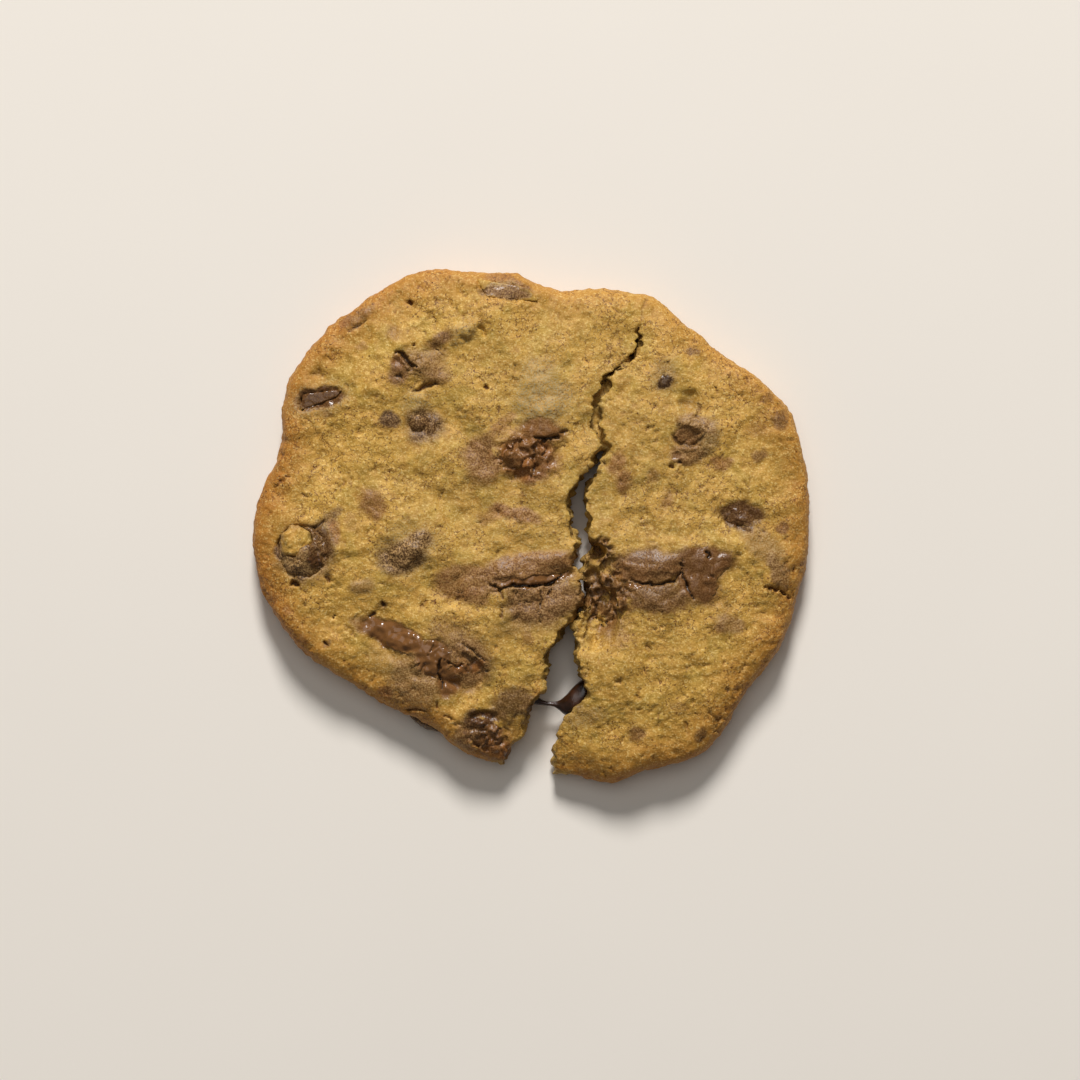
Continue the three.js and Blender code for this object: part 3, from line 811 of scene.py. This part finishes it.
class Wire:
    """A node's output, on which arithmetic adds Math nodes."""

    def __init__(self, graph: "Graph", socket: bpy.types.NodeSocket) -> None:
        """Wraps a socket of a graph."""
        self.graph = graph
        self.socket = socket

    def math(self, operation: str, *values: object) -> "Wire":
        """Adds one Math node with this as its first value."""
        return self.graph.math(operation, self, *values)

    def __add__(self, other: object) -> "Wire":
        """Adds."""
        return self.math("ADD", other)

    def __sub__(self, other: object) -> "Wire":
        """Takes the other away."""
        return self.math("SUBTRACT", other)

    def __rsub__(self, other: object) -> "Wire":
        """Takes this away from the other."""
        return self.graph.math("SUBTRACT", other, self)

    def __mul__(self, other: object) -> "Wire":
        """Multiplies."""
        return self.math("MULTIPLY", other)

    __radd__ = __add__
    __rmul__ = __mul__

    def clamp(self) -> "Wire":
        """Keeps the value between 0 and 1."""
        return self.math("MAXIMUM", 0.0).math("MINIMUM", 1.0)

    def step(self, low: float, high: float) -> "Wire":
        """Goes smoothly from 0 at low to 1 at high."""
        made = self.graph.node(
            "ShaderNodeMapRange", {"interpolation_type": "SMOOTHSTEP"},
            {"Value": self, "From Min": low, "From Max": high})
        return Wire(self.graph, made.outputs[0])


Tint = Wire | Colour


class Graph:
    """The node tree of one material, ending in one Principled shader."""

    def __init__(self, name: str) -> None:
        """Starts an empty material.

        Args:
            name: The material's name.
        """
        self.material = bpy.data.materials.new(name)
        self.material.use_nodes = True
        self.tree = self.material.node_tree
        self.tree.nodes.clear()

    def node(self, kind: str, settings: dict[str, object] | None = None,
             inputs: dict[str | int, object] | None = None) -> bpy.types.Node:
        """Adds one node.

        Args:
            kind: The node's type.
            settings: Its settings, which are set first.
            inputs: Values or wires for its sockets, by name or number.

        Returns:
            The node.
        """
        made = self.tree.nodes.new(kind)
        for name, value in (settings or {}).items():
            setattr(made, name, value)
        for name, value in (inputs or {}).items():
            if isinstance(value, Wire):
                self.tree.links.new(value.socket, made.inputs[name])
            elif isinstance(value, tuple) and made.inputs[name].type == "RGBA":
                made.inputs[name].default_value = (*value, 1.0)
            else:
                made.inputs[name].default_value = value
        return made

    def math(self, operation: str, *values: object) -> Wire:
        """Adds one Math node over wires and numbers."""
        made = self.node("ShaderNodeMath", {"operation": operation}, dict(enumerate(values)))
        return Wire(self, made.outputs[0])

    def attribute(self, name: str) -> Wire:
        """Reads a number painted on the piece's points."""
        made = self.node("ShaderNodeAttribute", {"attribute_name": name})
        return Wire(self, made.outputs["Fac"])

    def place(self) -> Wire:
        """Gives the place on the object in millimetres."""
        coordinate = self.node("ShaderNodeTexCoord")
        scaled = self.node(
            "ShaderNodeVectorMath", {"operation": "SCALE"},
            {0: Wire(self, coordinate.outputs["Object"]), "Scale": 1 / MM})
        return Wire(self, scaled.outputs[0])

    def clouds(self, place: Wire, size: float, detail: float = 2.0) -> Wire:
        """Gives smooth uneven values around 0.5, with swellings of a size in millimetres."""
        inputs = {"Vector": place, "Scale": 1 / size, "Detail": detail, "Roughness": 0.55}
        made = self.node("ShaderNodeTexNoise", {}, inputs)
        return Wire(self, made.outputs[0])

    def cells(self, place: Wire, size: float) -> Wire:
        """Gives the distance to the nearest of seeds scattered a size in millimetres apart."""
        made = self.node("ShaderNodeTexVoronoi", {}, {"Vector": place, "Scale": 1 / size})
        return Wire(self, made.outputs["Distance"])

    def mix(self, first: Tint, second: Tint, share: Wire) -> Wire:
        """Mixes two colours by a share of the second."""
        made = self.node("ShaderNodeMix", {"data_type": "RGBA"}, {0: share, 6: first, 7: second})
        return Wire(self, made.outputs[2])

    def layers(self, base: Tint, coats: Sequence[tuple[Tint, Wire]]) -> Tint:
        """Lays colours over one another.

        Args:
            base: The lowest colour.
            coats: Each further colour and its share.

        Returns:
            The mixed colour.
        """
        for colour, share in coats:
            base = self.mix(base, colour, share)
        return base

    def finish(self, colour: Tint, roughness: Wire | float, height: Wire | None,
               depth: float, others: dict[str, object]) -> Material:
        """Ends the tree in a Principled shader.

        Args:
            colour: The base colour.
            roughness: How rough it is.
            height: The bump's height, in millimetres.
            depth: What the bump is multiplied by.
            others: Values or wires for other sockets.

        Returns:
            The material.
        """
        inputs = {"Base Color": colour, "Roughness": roughness, **others}
        if height is not None:
            relief = {"Strength": 1.0, "Distance": depth * MM, "Height": height}
            inputs["Normal"] = Wire(self, self.node("ShaderNodeBump", {}, relief).outputs[0])
        shader = self.node("ShaderNodeBsdfPrincipled", {}, inputs)
        output = self.node("ShaderNodeOutputMaterial")
        self.tree.links.new(shader.outputs[0], output.inputs[0])
        return self.material


class Cocoa(Enum):
    """The colours of the chocolate, from red-brown crumb to dark."""

    RED_BROWN = linear(140, 88, 42)
    MILK = linear(120, 80, 42)
    DEEP = linear(86, 53, 25)
    DARK = linear(52, 34, 22)


class CookieGraph(Graph):
    """The cookie's node tree, with its painted numbers and the uneven patterns that vary it."""

    def __init__(self, name: str) -> None:
        """Starts the tree.

        Args:
            name: The material's name.
        """
        super().__init__(name)
        self.cocoa, self.tone, self.melt, self.bloom, self.hollow_shade, self.browned, self.inner = (
            self.attribute(kind) for kind in PAINTED)
        place = self.place()
        self.wide = self.clouds(place, size=9.0)
        self.hue = self.clouds(place, size=4.5, detail=3.0)
        self.middling = self.clouds(place, size=1.8, detail=4.0)
        self.folds = self.clouds(place, size=1.3)
        self.fine = self.clouds(place, size=0.5, detail=3.0)
        self.sand = self.clouds(place, size=0.27, detail=1.0)
        self.spots = self.cells(place, size=1.0)
        self.grain = self.cells(place, size=0.4)
        # glint marks pale specks, painted as glints on chocolate and as thicker dust; grit marks dark grit
        self.glint = self.sand.step(0.5, 0.64)
        self.grit = self.sand.step(0.5, 0.36)
        self.dull = 1.0 - self.melt


@dataclass(frozen=True)
class CookieFinish:
    """Baked dough with chocolate in it, where the painted numbers say how much of each shows.

    Attributes:
        light, deep, olive, tan: The dough's colours between which it varies.
        browned: The dough's colour where the oven browned it, also laid on the rim's right side as painted
            shade.
        hollow_shade: Its painted shade deep in pits, fissures, specks and creases, also the colour of its
            dark grains.
        inner: Its colour on torn walls.
        sugar_and_glint: The colour of its lightest grains, sugar and painted glints.
        bloom, dust_and_glint: The colours of grey dust, on dough and on chocolate; the second is also
            painted as pale glints on chocolate.
        pit: The chocolate's dark grit, and its painted shade deep in fissures.
        relief: The height of its finest grain, mm.
    """

    light: Colour = linear(212, 168, 76)
    deep: Colour = linear(166, 121, 44)
    browned: Colour = linear(170, 110, 36)
    olive: Colour = linear(182, 154, 68)
    tan: Colour = linear(204, 152, 70)
    hollow_shade: Colour = linear(98, 54, 12)
    inner: Colour = linear(178, 140, 66)
    sugar_and_glint: Colour = linear(242, 212, 140)
    bloom: Colour = linear(162, 142, 98)
    dust_and_glint: Colour = linear(182, 144, 92)
    pit: Colour = linear(30, 15, 7)
    relief: float = 0.11

    def dough(self, graph: CookieGraph) -> Wire:
        """Mixes the dough's colour.

        Args:
            graph: The material's tree.

        Returns:
            The colour.
        """
        grains = graph.fine * 0.45 + graph.sand * 0.55
        share = (graph.wide * 0.5 + graph.middling * 0.9 + graph.fine * 0.5 - 0.45).step(0.2, 0.85)
        brown = (graph.browned * 1.1 + (graph.middling - 0.5) * 0.9 + (graph.wide - 0.5) * 0.6).clamp()
        # specks and crease are dark dots and thin lines, painted as the shade of small pits and cracks
        specks = graph.spots.step(0.24, 0.1) * graph.middling.step(0.5, 0.58)
        crease = (graph.folds - 0.5).math("ABSOLUTE").step(0.024, 0.008) * graph.wide.step(0.46, 0.54)
        return graph.layers(self.deep, (
            (self.light, share),
            (self.olive, graph.hue.step(0.48, 0.36) * 0.3),
            (self.tan, graph.hue.step(0.52, 0.66) * 0.4),
            (self.browned, brown),
            (self.inner, graph.inner),
            # Light sugar grains, partly painted glints
            (self.sugar_and_glint, grains.step(0.5, 0.68) * (0.55 - graph.browned * 0.2)),
            # Dark grains, then painted shade in pits, fissures, specks and creases
            (self.hollow_shade, grains.step(0.49, 0.33) * 0.17),
            (self.hollow_shade, (graph.hollow_shade + (specks + crease) * 0.72).clamp()),
        ))

    def chocolate(self, graph: CookieGraph) -> Wire:
        """Mixes the chocolate's colour.

        Args:
            graph: The material's tree.

        Returns:
            The colour.
        """
        return graph.layers(Cocoa.RED_BROWN.value, (
            (Cocoa.MILK.value, graph.tone.step(0.0, 0.33)),
            (Cocoa.DEEP.value, graph.tone.step(0.33, 0.66)),
            (Cocoa.DARK.value, graph.tone.step(0.66, 1.0)),
            # Painted glints: pale specks on the chocolate that hasn't melted
            (self.dust_and_glint, graph.glint * graph.dull * 0.3),
            (self.pit, graph.grit * (0.06 + graph.dull * 0.4)),
            # Painted shade deep in fissures and in the gaps between bits
            (self.pit, (graph.hollow_shade * 0.9).clamp()),
        ))

    def material(self, name: str) -> Material:
        """Builds the material.

        Args:
            name: The material's name.

        Returns:
            The material.
        """
        graph = CookieGraph(name)
        ragged = (graph.fine - 0.5) * 1.1 + (graph.middling - 0.5) * 0.5
        edge = graph.cocoa + ragged * (graph.cocoa * (1.0 - graph.cocoa) * 3.2)
        dusted = (graph.bloom * (0.5 + graph.glint * 0.9 - graph.grit * 0.4)).clamp()
        colour = graph.layers(self.dough(graph), (
            (self.chocolate(graph), edge.clamp()),
            (graph.mix(self.bloom, self.dust_and_glint, graph.cocoa), dusted),
        ))
        roughness = (0.62 - graph.cocoa * 0.14 - graph.melt * 0.3 + (graph.sand - 0.5) * 0.5).clamp()
        height = graph.middling * 1.3 + graph.fine * 0.7 + graph.grain * 0.4 + graph.sand * 0.4
        coat = graph.melt.step(0.85, 1.0) * 0.3
        return graph.finish(
            colour, roughness, height * (1.0 - graph.melt * 0.9), self.relief,
            {"Specular IOR Level": 0.32, "Coat Weight": coat, "Coat Roughness": 0.1})


@dataclass(frozen=True)
class MeltedFinish:
    """Chocolate that melted and set again, smooth and glossy.

    Attributes:
        colour, thick: The colours between which it varies.
        relief: The height of its fine unevenness, mm.
    """

    colour: Colour = linear(66, 38, 22)
    thick: Colour = linear(32, 18, 9)
    relief: float = 0.05

    def material(self, name: str) -> Material:
        """Builds the material.

        Args:
            name: The material's name.

        Returns:
            The material.
        """
        graph = Graph(name)
        place = graph.place()
        fine = graph.clouds(place, size=0.6)
        colour = graph.mix(self.thick, self.colour, graph.clouds(place, size=3.0).step(0.35, 0.65))
        roughness = (0.16 + fine * 0.12).clamp()
        return graph.finish(colour, roughness, fine, self.relief, {"Specular IOR Level": 0.6})


@dataclass(frozen=True)
class FloorFinish:
    """Pale warm paper.

    Attributes:
        colour: Its lightest colour.
        shade: How light its darkest places are, in shares of that.
    """

    colour: Colour = linear(238, 230, 219)
    shade: float = 0.97

    def material(self, name: str) -> Material:
        """Builds the material.

        Args:
            name: The material's name.

        Returns:
            The material.
        """
        graph = Graph(name)
        wide = graph.clouds(graph.place(), size=60.0)
        colour = graph.mix(tuple(value * self.shade for value in self.colour), self.colour, wide)
        return graph.finish(colour, 0.85, None, 0.0, {"Specular IOR Level": 0.2})


# ---- the cookie's pieces


@dataclass(frozen=True)
class Outline:
    """How far a piece's edge is from its middle at each bearing, as seen from above.

    Attributes:
        middle: Its middle.
        bearings: The bearings, degrees.
        reach: How far the edge is at each of them.
    """

    middle: Spot
    bearings: Array
    reach: Array

    @classmethod
    def of(cls, node: str, steps: int = 240) -> "Outline":
        """Measures a CAD node.

        Args:
            node: The node's name.
            steps: At how many bearings it is measured.

        Returns:
            Its outline.
        """
        points = points_of(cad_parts[node])
        middle = tuple((points.min(0) + points.max(0))[:2] / 2)
        bearing, radius = cls.polar(points, middle)
        step = 360 / steps
        bearings = np.arange(steps) * step
        away = np.abs((bearing[None, :] - bearings[:, None] + 180) % 360 - 180)
        reach = np.where(away < max(2.5, 1.5 * step), radius[None, :], 0.0).max(1)
        return cls(middle, bearings, reach)

    @staticmethod
    def polar(points: Array, middle: Spot) -> tuple[Array, Array]:
        """Gives the bearings and distances of points from a middle."""
        x, y = points[:, 0] - middle[0], points[:, 1] - middle[1]
        return np.degrees(np.arctan2(y, x)) % 360, np.hypot(x, y)

    def share(self, points: Array) -> Array:
        """Gives how far out points are, from 0 in the middle to 1 at the edge."""
        bearing, radius = self.polar(points, self.middle)
        return radius / np.interp(bearing, self.bearings, self.reach, period=360)


@dataclass
class Chunk:
    """One piece of chocolate in the dough's top.

    Attributes:
        node: The CAD node that it stands for.
        slot: The record's material slot.
        voxel: The mesh's step.
        proud: How far it stands out of the dough.
        round_from: From which share of its width on it dips under the dough.
        rounding: How many times its edges are smoothed.
        cover: How much dough over it gives way to it.
        dip: How far its edge dips under the dough.
        buried: How far it sinks where dough covers it.
        lowest: How high it stays over the floor.
        pocket: Whether it lies in a pocket of the dough's top.
        uneven: How far its own surface swells and sinks; if None, it follows the dough's top.
        own: What shows all over it, if it isn't the surface at that place.
    """

    node: str
    slot: Slot = Slot.MILK
    voxel: float = 0.2
    proud: float = 0.12
    round_from: float = 0.4
    rounding: int = 6
    cover: float = 0.02
    dip: float = 0.6
    buried: float = 0.9
    lowest: float = 0.8
    pocket: bool = True
    uneven: float | None = None
    own: Patch | None = None

    def build(self, material: Material) -> Piece:
        """Makes the piece.

        Args:
            material: Its material.

        Returns:
            The finished piece.
        """
        piece = fine_copy(self.node, self.node + "_chocolate", self.voxel, self.rounding)
        points = points_of(piece)
        normals = normals_of(piece)
        zero = np.zeros(len(points))
        surface = Surface.even(self.own, len(points)) if self.own else Surface.at(points)
        if self.uneven is None:
            top = smooth_step(0.1, 0.6, normals[:, 2])
            edge = smooth_step(self.round_from, 1.0, Outline.of(self.node, steps=48).share(points))
            bare = smooth_step(0.85, 0.45, surface.cocoa)
            points[:, 2] += top * surface.rise + self.proud - POCKET_DEPTH
            points[:, 2] -= self.dip * edge + self.buried * bare * top
            surface.paint(piece, top, zero, zero)
        else:
            fine = (0.2 + 0.9 * surface.melt) * clouds(points, 0.7, 22)
            relief = self.uneven * (clouds(points, 2.2, 21) + fine)
            points += normals * relief[:, None]
            points[:, 2] += self.proud
            surface.paint(piece, zero + 1.0, zero, zero)
        points[:, 2] = np.maximum(points[:, 2], self.lowest)
        move_points(piece, torn(points))
        finish_piece(piece, material, self.slot, self.node)
        return piece


MILK_CHUNKS = (
    "chunk_middle", "chunk_band_left", "chunk_band_right", "chunk_band_end", "chunk_lower_left", "chunk_tip",
    "chunk_upper_right", "chunk_fold",
)
UNDER_RIM = Patch(0.0, 0.0, 1.0, 1.0, 0, cocoa=1.0, tone=0.9, melt=0.2, bloom=0.25)
CHUNKS = (
    *(Chunk(node) for node in MILK_CHUNKS),
    Chunk("chunk_mid_left", Slot.DARK),
    Chunk("chunk_right", Slot.DARK),
    Chunk("slice_left_rim", Slot.DARK, proud=0.1, rounding=2, cover=2.0, uneven=0.1),
    Chunk("slice_top_rim", Slot.DARK, proud=0.0, rounding=3, cover=0.25, uneven=0.15),
    Chunk("chunk_under_rim", Slot.DARK, proud=0.0, pocket=False, uneven=0.3, own=UNDER_RIM),
    Chunk("chip_left", Slot.DARK, proud=0.0, cover=0.4, uneven=0.5),
    Chunk("chip_upper_left", Slot.DARK, round_from=0.85),
)
Placed = tuple[Chunk, Piece]  # a chunk with its finished piece


@dataclass
class Dough:
    """The baked dough, split, with its pockets filled up to the chocolate.

    Attributes:
        voxel: The mesh's step.
        softening: How many times the facets of the solid are smoothed.
        faces: How many triangles it may have.
        swell: How much wider than its pocket a filling is.
        clearance: How far the dough stays under the chocolate on it.
        shadow: How dark the painted shade in the hollows of its torn walls is, 0 to 1.
        foot_brown: How browned its foot is, 0 to 1.
        browning_and_shade: How browned the rim is by bearing, 0 to 1; on the right side it is raised as
            painted shade.
    """

    voxel: float = 0.3
    softening: int = 14
    faces: int = 192_000
    swell: float = 0.5
    clearance: float = 0.12
    shadow: float = 0.4
    foot_brown: float = 0.7
    # The oven's browning by bearing, raised on the right side as painted shade
    browning_and_shade: tuple[tuple[float, float], ...] = (
        (0, 0.75), (45, 0.5), (65, 0.4), (95, 0.7), (130, 0.85), (160, 0.85), (175, 1.0), (195, 1.0),
        (215, 0.75), (250, 0.75), (300, 0.85), (330, 0.75), (360, 0.75))

    def filled(self, chunks: Sequence[Chunk]) -> Piece:
        """Joins the split dough and what fills its pockets.

        Args:
            chunks: The chocolate that sits in pockets.

        Returns:
            One closed even mesh.
        """
        parts = [copy_of_node("cookie", "crumb")]
        for chunk in chunks:
            filling = copy_of_node(chunk.node, chunk.node + "_filling")
            points = points_of(filling)
            low, high = points.min(0), points.max(0)
            middle, size = (low + high) / 2, high - low
            grown = middle + (points - middle) * (size + 2 * self.swell) / size
            grown[:, 2] -= self.swell + POCKET_DEPTH
            move_points(filling, grown)
            parts.append(filling)
        piece = join(parts)
        apply_modifier(piece, "REMESH", mode="VOXEL", voxel_size=self.voxel * MM)
        return keep_largest(piece)

    def soften(self, piece: Piece) -> None:
        """Smooths the solid's facets but keeps the split's edges.

        Args:
            piece: The dough.
        """
        mark(piece, "soften", smooth_step(0.2, 2.4, from_split(points_of(piece))))
        apply_modifier(piece, "SMOOTH", factor=0.5, iterations=self.softening, vertex_group="soften")
        piece.vertex_groups.clear()

    def make_room(self, points: Array, placed: Sequence[Placed]) -> None:
        """Lets the dough down under the chocolate that lies on it.

        Args:
            points: The dough's points, which it changes.
            placed: The chocolate.
        """
        for chunk, piece in placed:
            corners = points_of(piece)
            faces = [tuple(face.vertices) for face in piece.data.polygons]
            tree = BVHTree.FromPolygons(corners.tolist(), faces)
            low, high = corners.min(0), corners.max(0)
            beside = np.any((points[:, :2] <= low[:2]) | (points[:, :2] >= high[:2]), axis=1)
            for number in np.flatnonzero(~beside & (points[:, 2] > low[2])):
                x, y, z = points[number]
                spot = tree.ray_cast((x, y, high[2] + 1.0), (0.0, 0.0, -1.0))[0]
                if spot is not None and z < spot.z + chunk.cover:
                    points[number, 2] = min(z, spot.z - self.clearance)

    def rim(self, points: Array) -> Array:
        """Browns the dough near the rim.

        Args:
            points: The dough's points, one row each.

        Returns:
            How browned each of them is, 0 to 1, on the right side partly as painted shade.
        """
        bearings, amounts = zip(*self.browning_and_shade)
        outline = Outline.of("cookie")
        bearing = outline.polar(points, outline.middle)[0]
        return smooth_step(0.80, 1.02, outline.share(points)) * np.interp(bearing, bearings, amounts)

    def build(self, placed: Sequence[Placed], material: Material) -> Piece:
        """Makes the dough.

        Args:
            placed: The chocolate in its top.
            material: The dough's material.

        Returns:
            The finished piece.
        """
        piece = self.filled([chunk for chunk, _ in placed])
        self.soften(piece)
        points, normals = points_of(piece), normals_of(piece)
        surface = Surface.at(points)
        top = smooth_step(0.1, 0.6, normals[:, 2])
        under = smooth_step(1.2, 0.2, points[:, 2])
        steep = smooth_step(0.85, 0.5, np.abs(normals[:, 2]))
        wall = smooth_step(3.0, 1.0, from_split(points)) * steep * (1.0 - under)
        rough = swellings(points, CRUMBLY_WALL)
        side = (1.0 - top) * (1.0 - under)
        points += normals * (side * rough * (0.45 + 0.6 * wall))[:, None]
        points[:, 2] = np.maximum(points[:, 2] + top * surface.rise, 0.0)
        points = torn(points)
        self.make_room(points, placed)
        move_points(piece, points)

        # Painted shade in the hollows of the torn walls, over that in pits and fissures of the top
        surface.hollow_shade = np.maximum(surface.hollow_shade * top, wall * smooth_step(0.1, -0.5, rough) * self.shadow)
        # The rim's browning, on its right side partly painted shade, and the browned foot
        browned = np.maximum(self.rim(points) * (1.0 - wall), self.foot_brown * under)
        surface.paint(piece, np.maximum(top, wall), browned, wall)
        self.thin_out(piece)
        finish_piece(piece, material, Slot.DOUGH, "cookie")
        return piece

    def thin_out(self, piece: Piece) -> None:
        """Takes faces away, most of them underneath, until the dough has as many as it may.

        Args:
            piece: The dough.
        """
        piece.data.calc_loop_triangles()
        ratio = min(self.faces / len(piece.data.loop_triangles), 1.0)
        flat = smooth_step(0.35, 0.05, points_of(piece)[:, 2])
        mark(piece, "plain", np.clip(flat + 0.06, 0.0, 1.0), 16)
        apply_modifier(piece, "DECIMATE", ratio=ratio, vertex_group="plain", vertex_group_factor=1.0)
        piece.vertex_groups.clear()
        points = points_of(piece)
        points[:, 2] = np.maximum(points[:, 2], 0.0)
        move_points(piece, points)


@dataclass
class StuckCrumb:
    """The crumb of dough on the left chip.

    Attributes:
        node: The CAD node that it stands for.
        voxel: The mesh's step.
        rounding: How many times its edges are smoothed.
        sunk: How far its foot is let into the chip.
    """

    node: str = "dough_crumb"
    voxel: float = 0.2
    rounding: int = 24
    sunk: float = 0.35

    def build(self, material: Material) -> Piece:
        """Makes the crumb.

        Args:
            material: Its material.

        Returns:
            The finished piece.
        """
        piece = fine_copy(self.node, "stuck_crumb", self.voxel, self.rounding)
        points, normals = points_of(piece), normals_of(piece)
        height = points[:, 2] + 0.5 * clouds(points, 0.9, 33) - points[:, 2].min()
        foot = smooth_step(0.8, 0.45, height / height.max())
        relief = swellings(points, ((0.4, 1.6, 31), (0.2, 0.7, 32)), 0.1 + 0.3 * foot)
        points[:, 2] += 0.5 * (1.0 - foot) - self.sunk
        move_points(piece, points + normals * relief[:, None])
        zero = np.zeros(len(points))
        surface = Surface(foot * 0.75, zero + 0.4, zero, foot * 0.5, zero, zero)
        surface.paint(piece, zero + 1.0, zero, zero)
        finish_piece(piece, material, Slot.DOUGH, self.node)
        return piece


@dataclass
class Strand:
    """Melted chocolate drawn out across the split.

    Attributes:
        node: The CAD node that it stands for.
        levels: How many times its faces are divided.
        uneven: How far its surface swells and sinks.
    """

    node: str = "chocolate_strand"
    levels: int = 2
    uneven: float = 0.25

    def build(self, material: Material) -> Piece:
        """Makes the strand.

        Args:
            material: Its material.

        Returns:
            The finished piece.
        """
        piece = copy_of_node(self.node, "melted_strand")
        apply_modifier(piece, "SUBSURF", levels=self.levels, render_levels=self.levels)
        points, normals = points_of(piece), normals_of(piece)
        thick = np.hypot(points[:, 1] - points[:, 1].mean(), points[:, 2] - points[:, 2].mean())
        relief = self.uneven * clouds(points, 1.8, 41) * smooth_step(0.6, 1.4, thick)
        move_points(piece, points + normals * relief[:, None])
        finish_piece(piece, material, Slot.DARK, self.node)
        return piece


# ---- the stage


@dataclass(frozen=True)
class Lamp:
    """A round lamp that shines on the cookie.

    Attributes:
        name: Its name.
        height: How far it is over the horizon, degrees.
        bearing: On which side it is, degrees.
        size: How wide it is.
        power: How strong it is, W.
        away: How far from the cookie it hangs.
    """

    name: str
    height: float
    bearing: float
    size: float
    power: float
    away: float = 1800.0

    def hang(self) -> None:
        """Hangs the lamp."""
        up, turn = math.radians(self.height), math.radians(self.bearing)
        way = (math.cos(turn) * math.cos(up), math.sin(turn) * math.cos(up), math.sin(up))
        deselect_all()
        bpy.ops.object.light_add(type="AREA", location=tuple(self.away * MM * part for part in way))
        lamp = bpy.context.object
        lamp.name = self.name
        lamp.data.shape = "DISK"
        lamp.data.size = self.size * MM
        lamp.data.energy = self.power
        lamp.rotation_euler = (math.radians(90 - self.height), 0, turn + math.pi / 2)


@dataclass
class Studio:
    """The floor, the soft light from the cookie's far side, and the camera straight above.

    Attributes:
        view_x, view_y: Over which point the camera is.
        height: How high it is.
        seen: How wide a view it has, at a height of seen_at.
        seen_at: The height of the cookie's middle level.
        sensor: How wide its sensor is.
        nearest: How near things may be to it.
        floor_size: How wide the floor is.
        lamps: The low lamp and the wide one overhead.
        sky: The colour of the light from all round.
        fill: How strong that light is.
    """

    view_x: float = 1.58
    view_y: float = -2.57
    height: float = 600.0
    seen: float = 179.3
    seen_at: float = 4.0
    sensor: float = 36.0
    nearest: float = 10.0
    floor_size: float = 3000.0
    lamps: tuple[Lamp, ...] = (
        Lamp("lamp", height=36.0, bearing=91.0, size=500.0, power=38.0),
        Lamp("overhead", height=74.0, bearing=110.0, size=1400.0, power=5.6),
    )
    sky: Colour = (1.0, 0.985, 0.96)
    fill: float = 0.11

    def build(self) -> None:
        """Sets the stage."""
        self.camera()
        self.floor()
        for lamp in self.lamps:
            lamp.hang()
        self.surroundings()
        LOG.info("stage: camera, floor and %d lamps", len(self.lamps))

    def camera(self) -> None:
        """Puts the camera straight above the cookie."""
        deselect_all()
        bpy.ops.object.camera_add(location=(self.view_x * MM, self.view_y * MM, self.height * MM))
        camera = bpy.context.object
        camera.name = "camera"
        camera.data.sensor_width = self.sensor
        camera.data.lens = self.sensor * (self.height - self.seen_at) / self.seen
        camera.data.clip_start = self.nearest * MM
        bpy.context.scene.camera = camera

    def floor(self) -> None:
        """Lays the floor."""
        deselect_all()
        bpy.ops.mesh.primitive_plane_add(size=self.floor_size * MM, location=(0, 0, 0))
        floor = bpy.context.object
        floor.name = "floor"
        floor.data.materials.append(FloorFinish().material("pale_floor"))

    def surroundings(self) -> None:
        """Fills the shadows with light from all round."""
        world = bpy.data.worlds.new("fill")
        world.use_nodes = True
        background = world.node_tree.nodes["Background"]
        background.inputs["Color"].default_value = (*self.sky, 1.0)
        background.inputs["Strength"].default_value = self.fill
        bpy.context.scene.world = world
        bpy.context.scene.view_settings.view_transform = "Standard"


def main() -> None:
    """Builds the cookie piece by piece."""
    logging.basicConfig(level=logging.INFO, format="%(name)s: %(message)s")
    Studio().build()
    cookie = CookieFinish().material("cookie_surface")
    placed = [(chunk, chunk.build(cookie)) for chunk in CHUNKS]
    Dough().build([(chunk, piece) for chunk, piece in placed if chunk.pocket], cookie)
    StuckCrumb().build(cookie)
    Strand().build(MeltedFinish().material("melted_chocolate"))


if __name__ == "__main__":
    main()
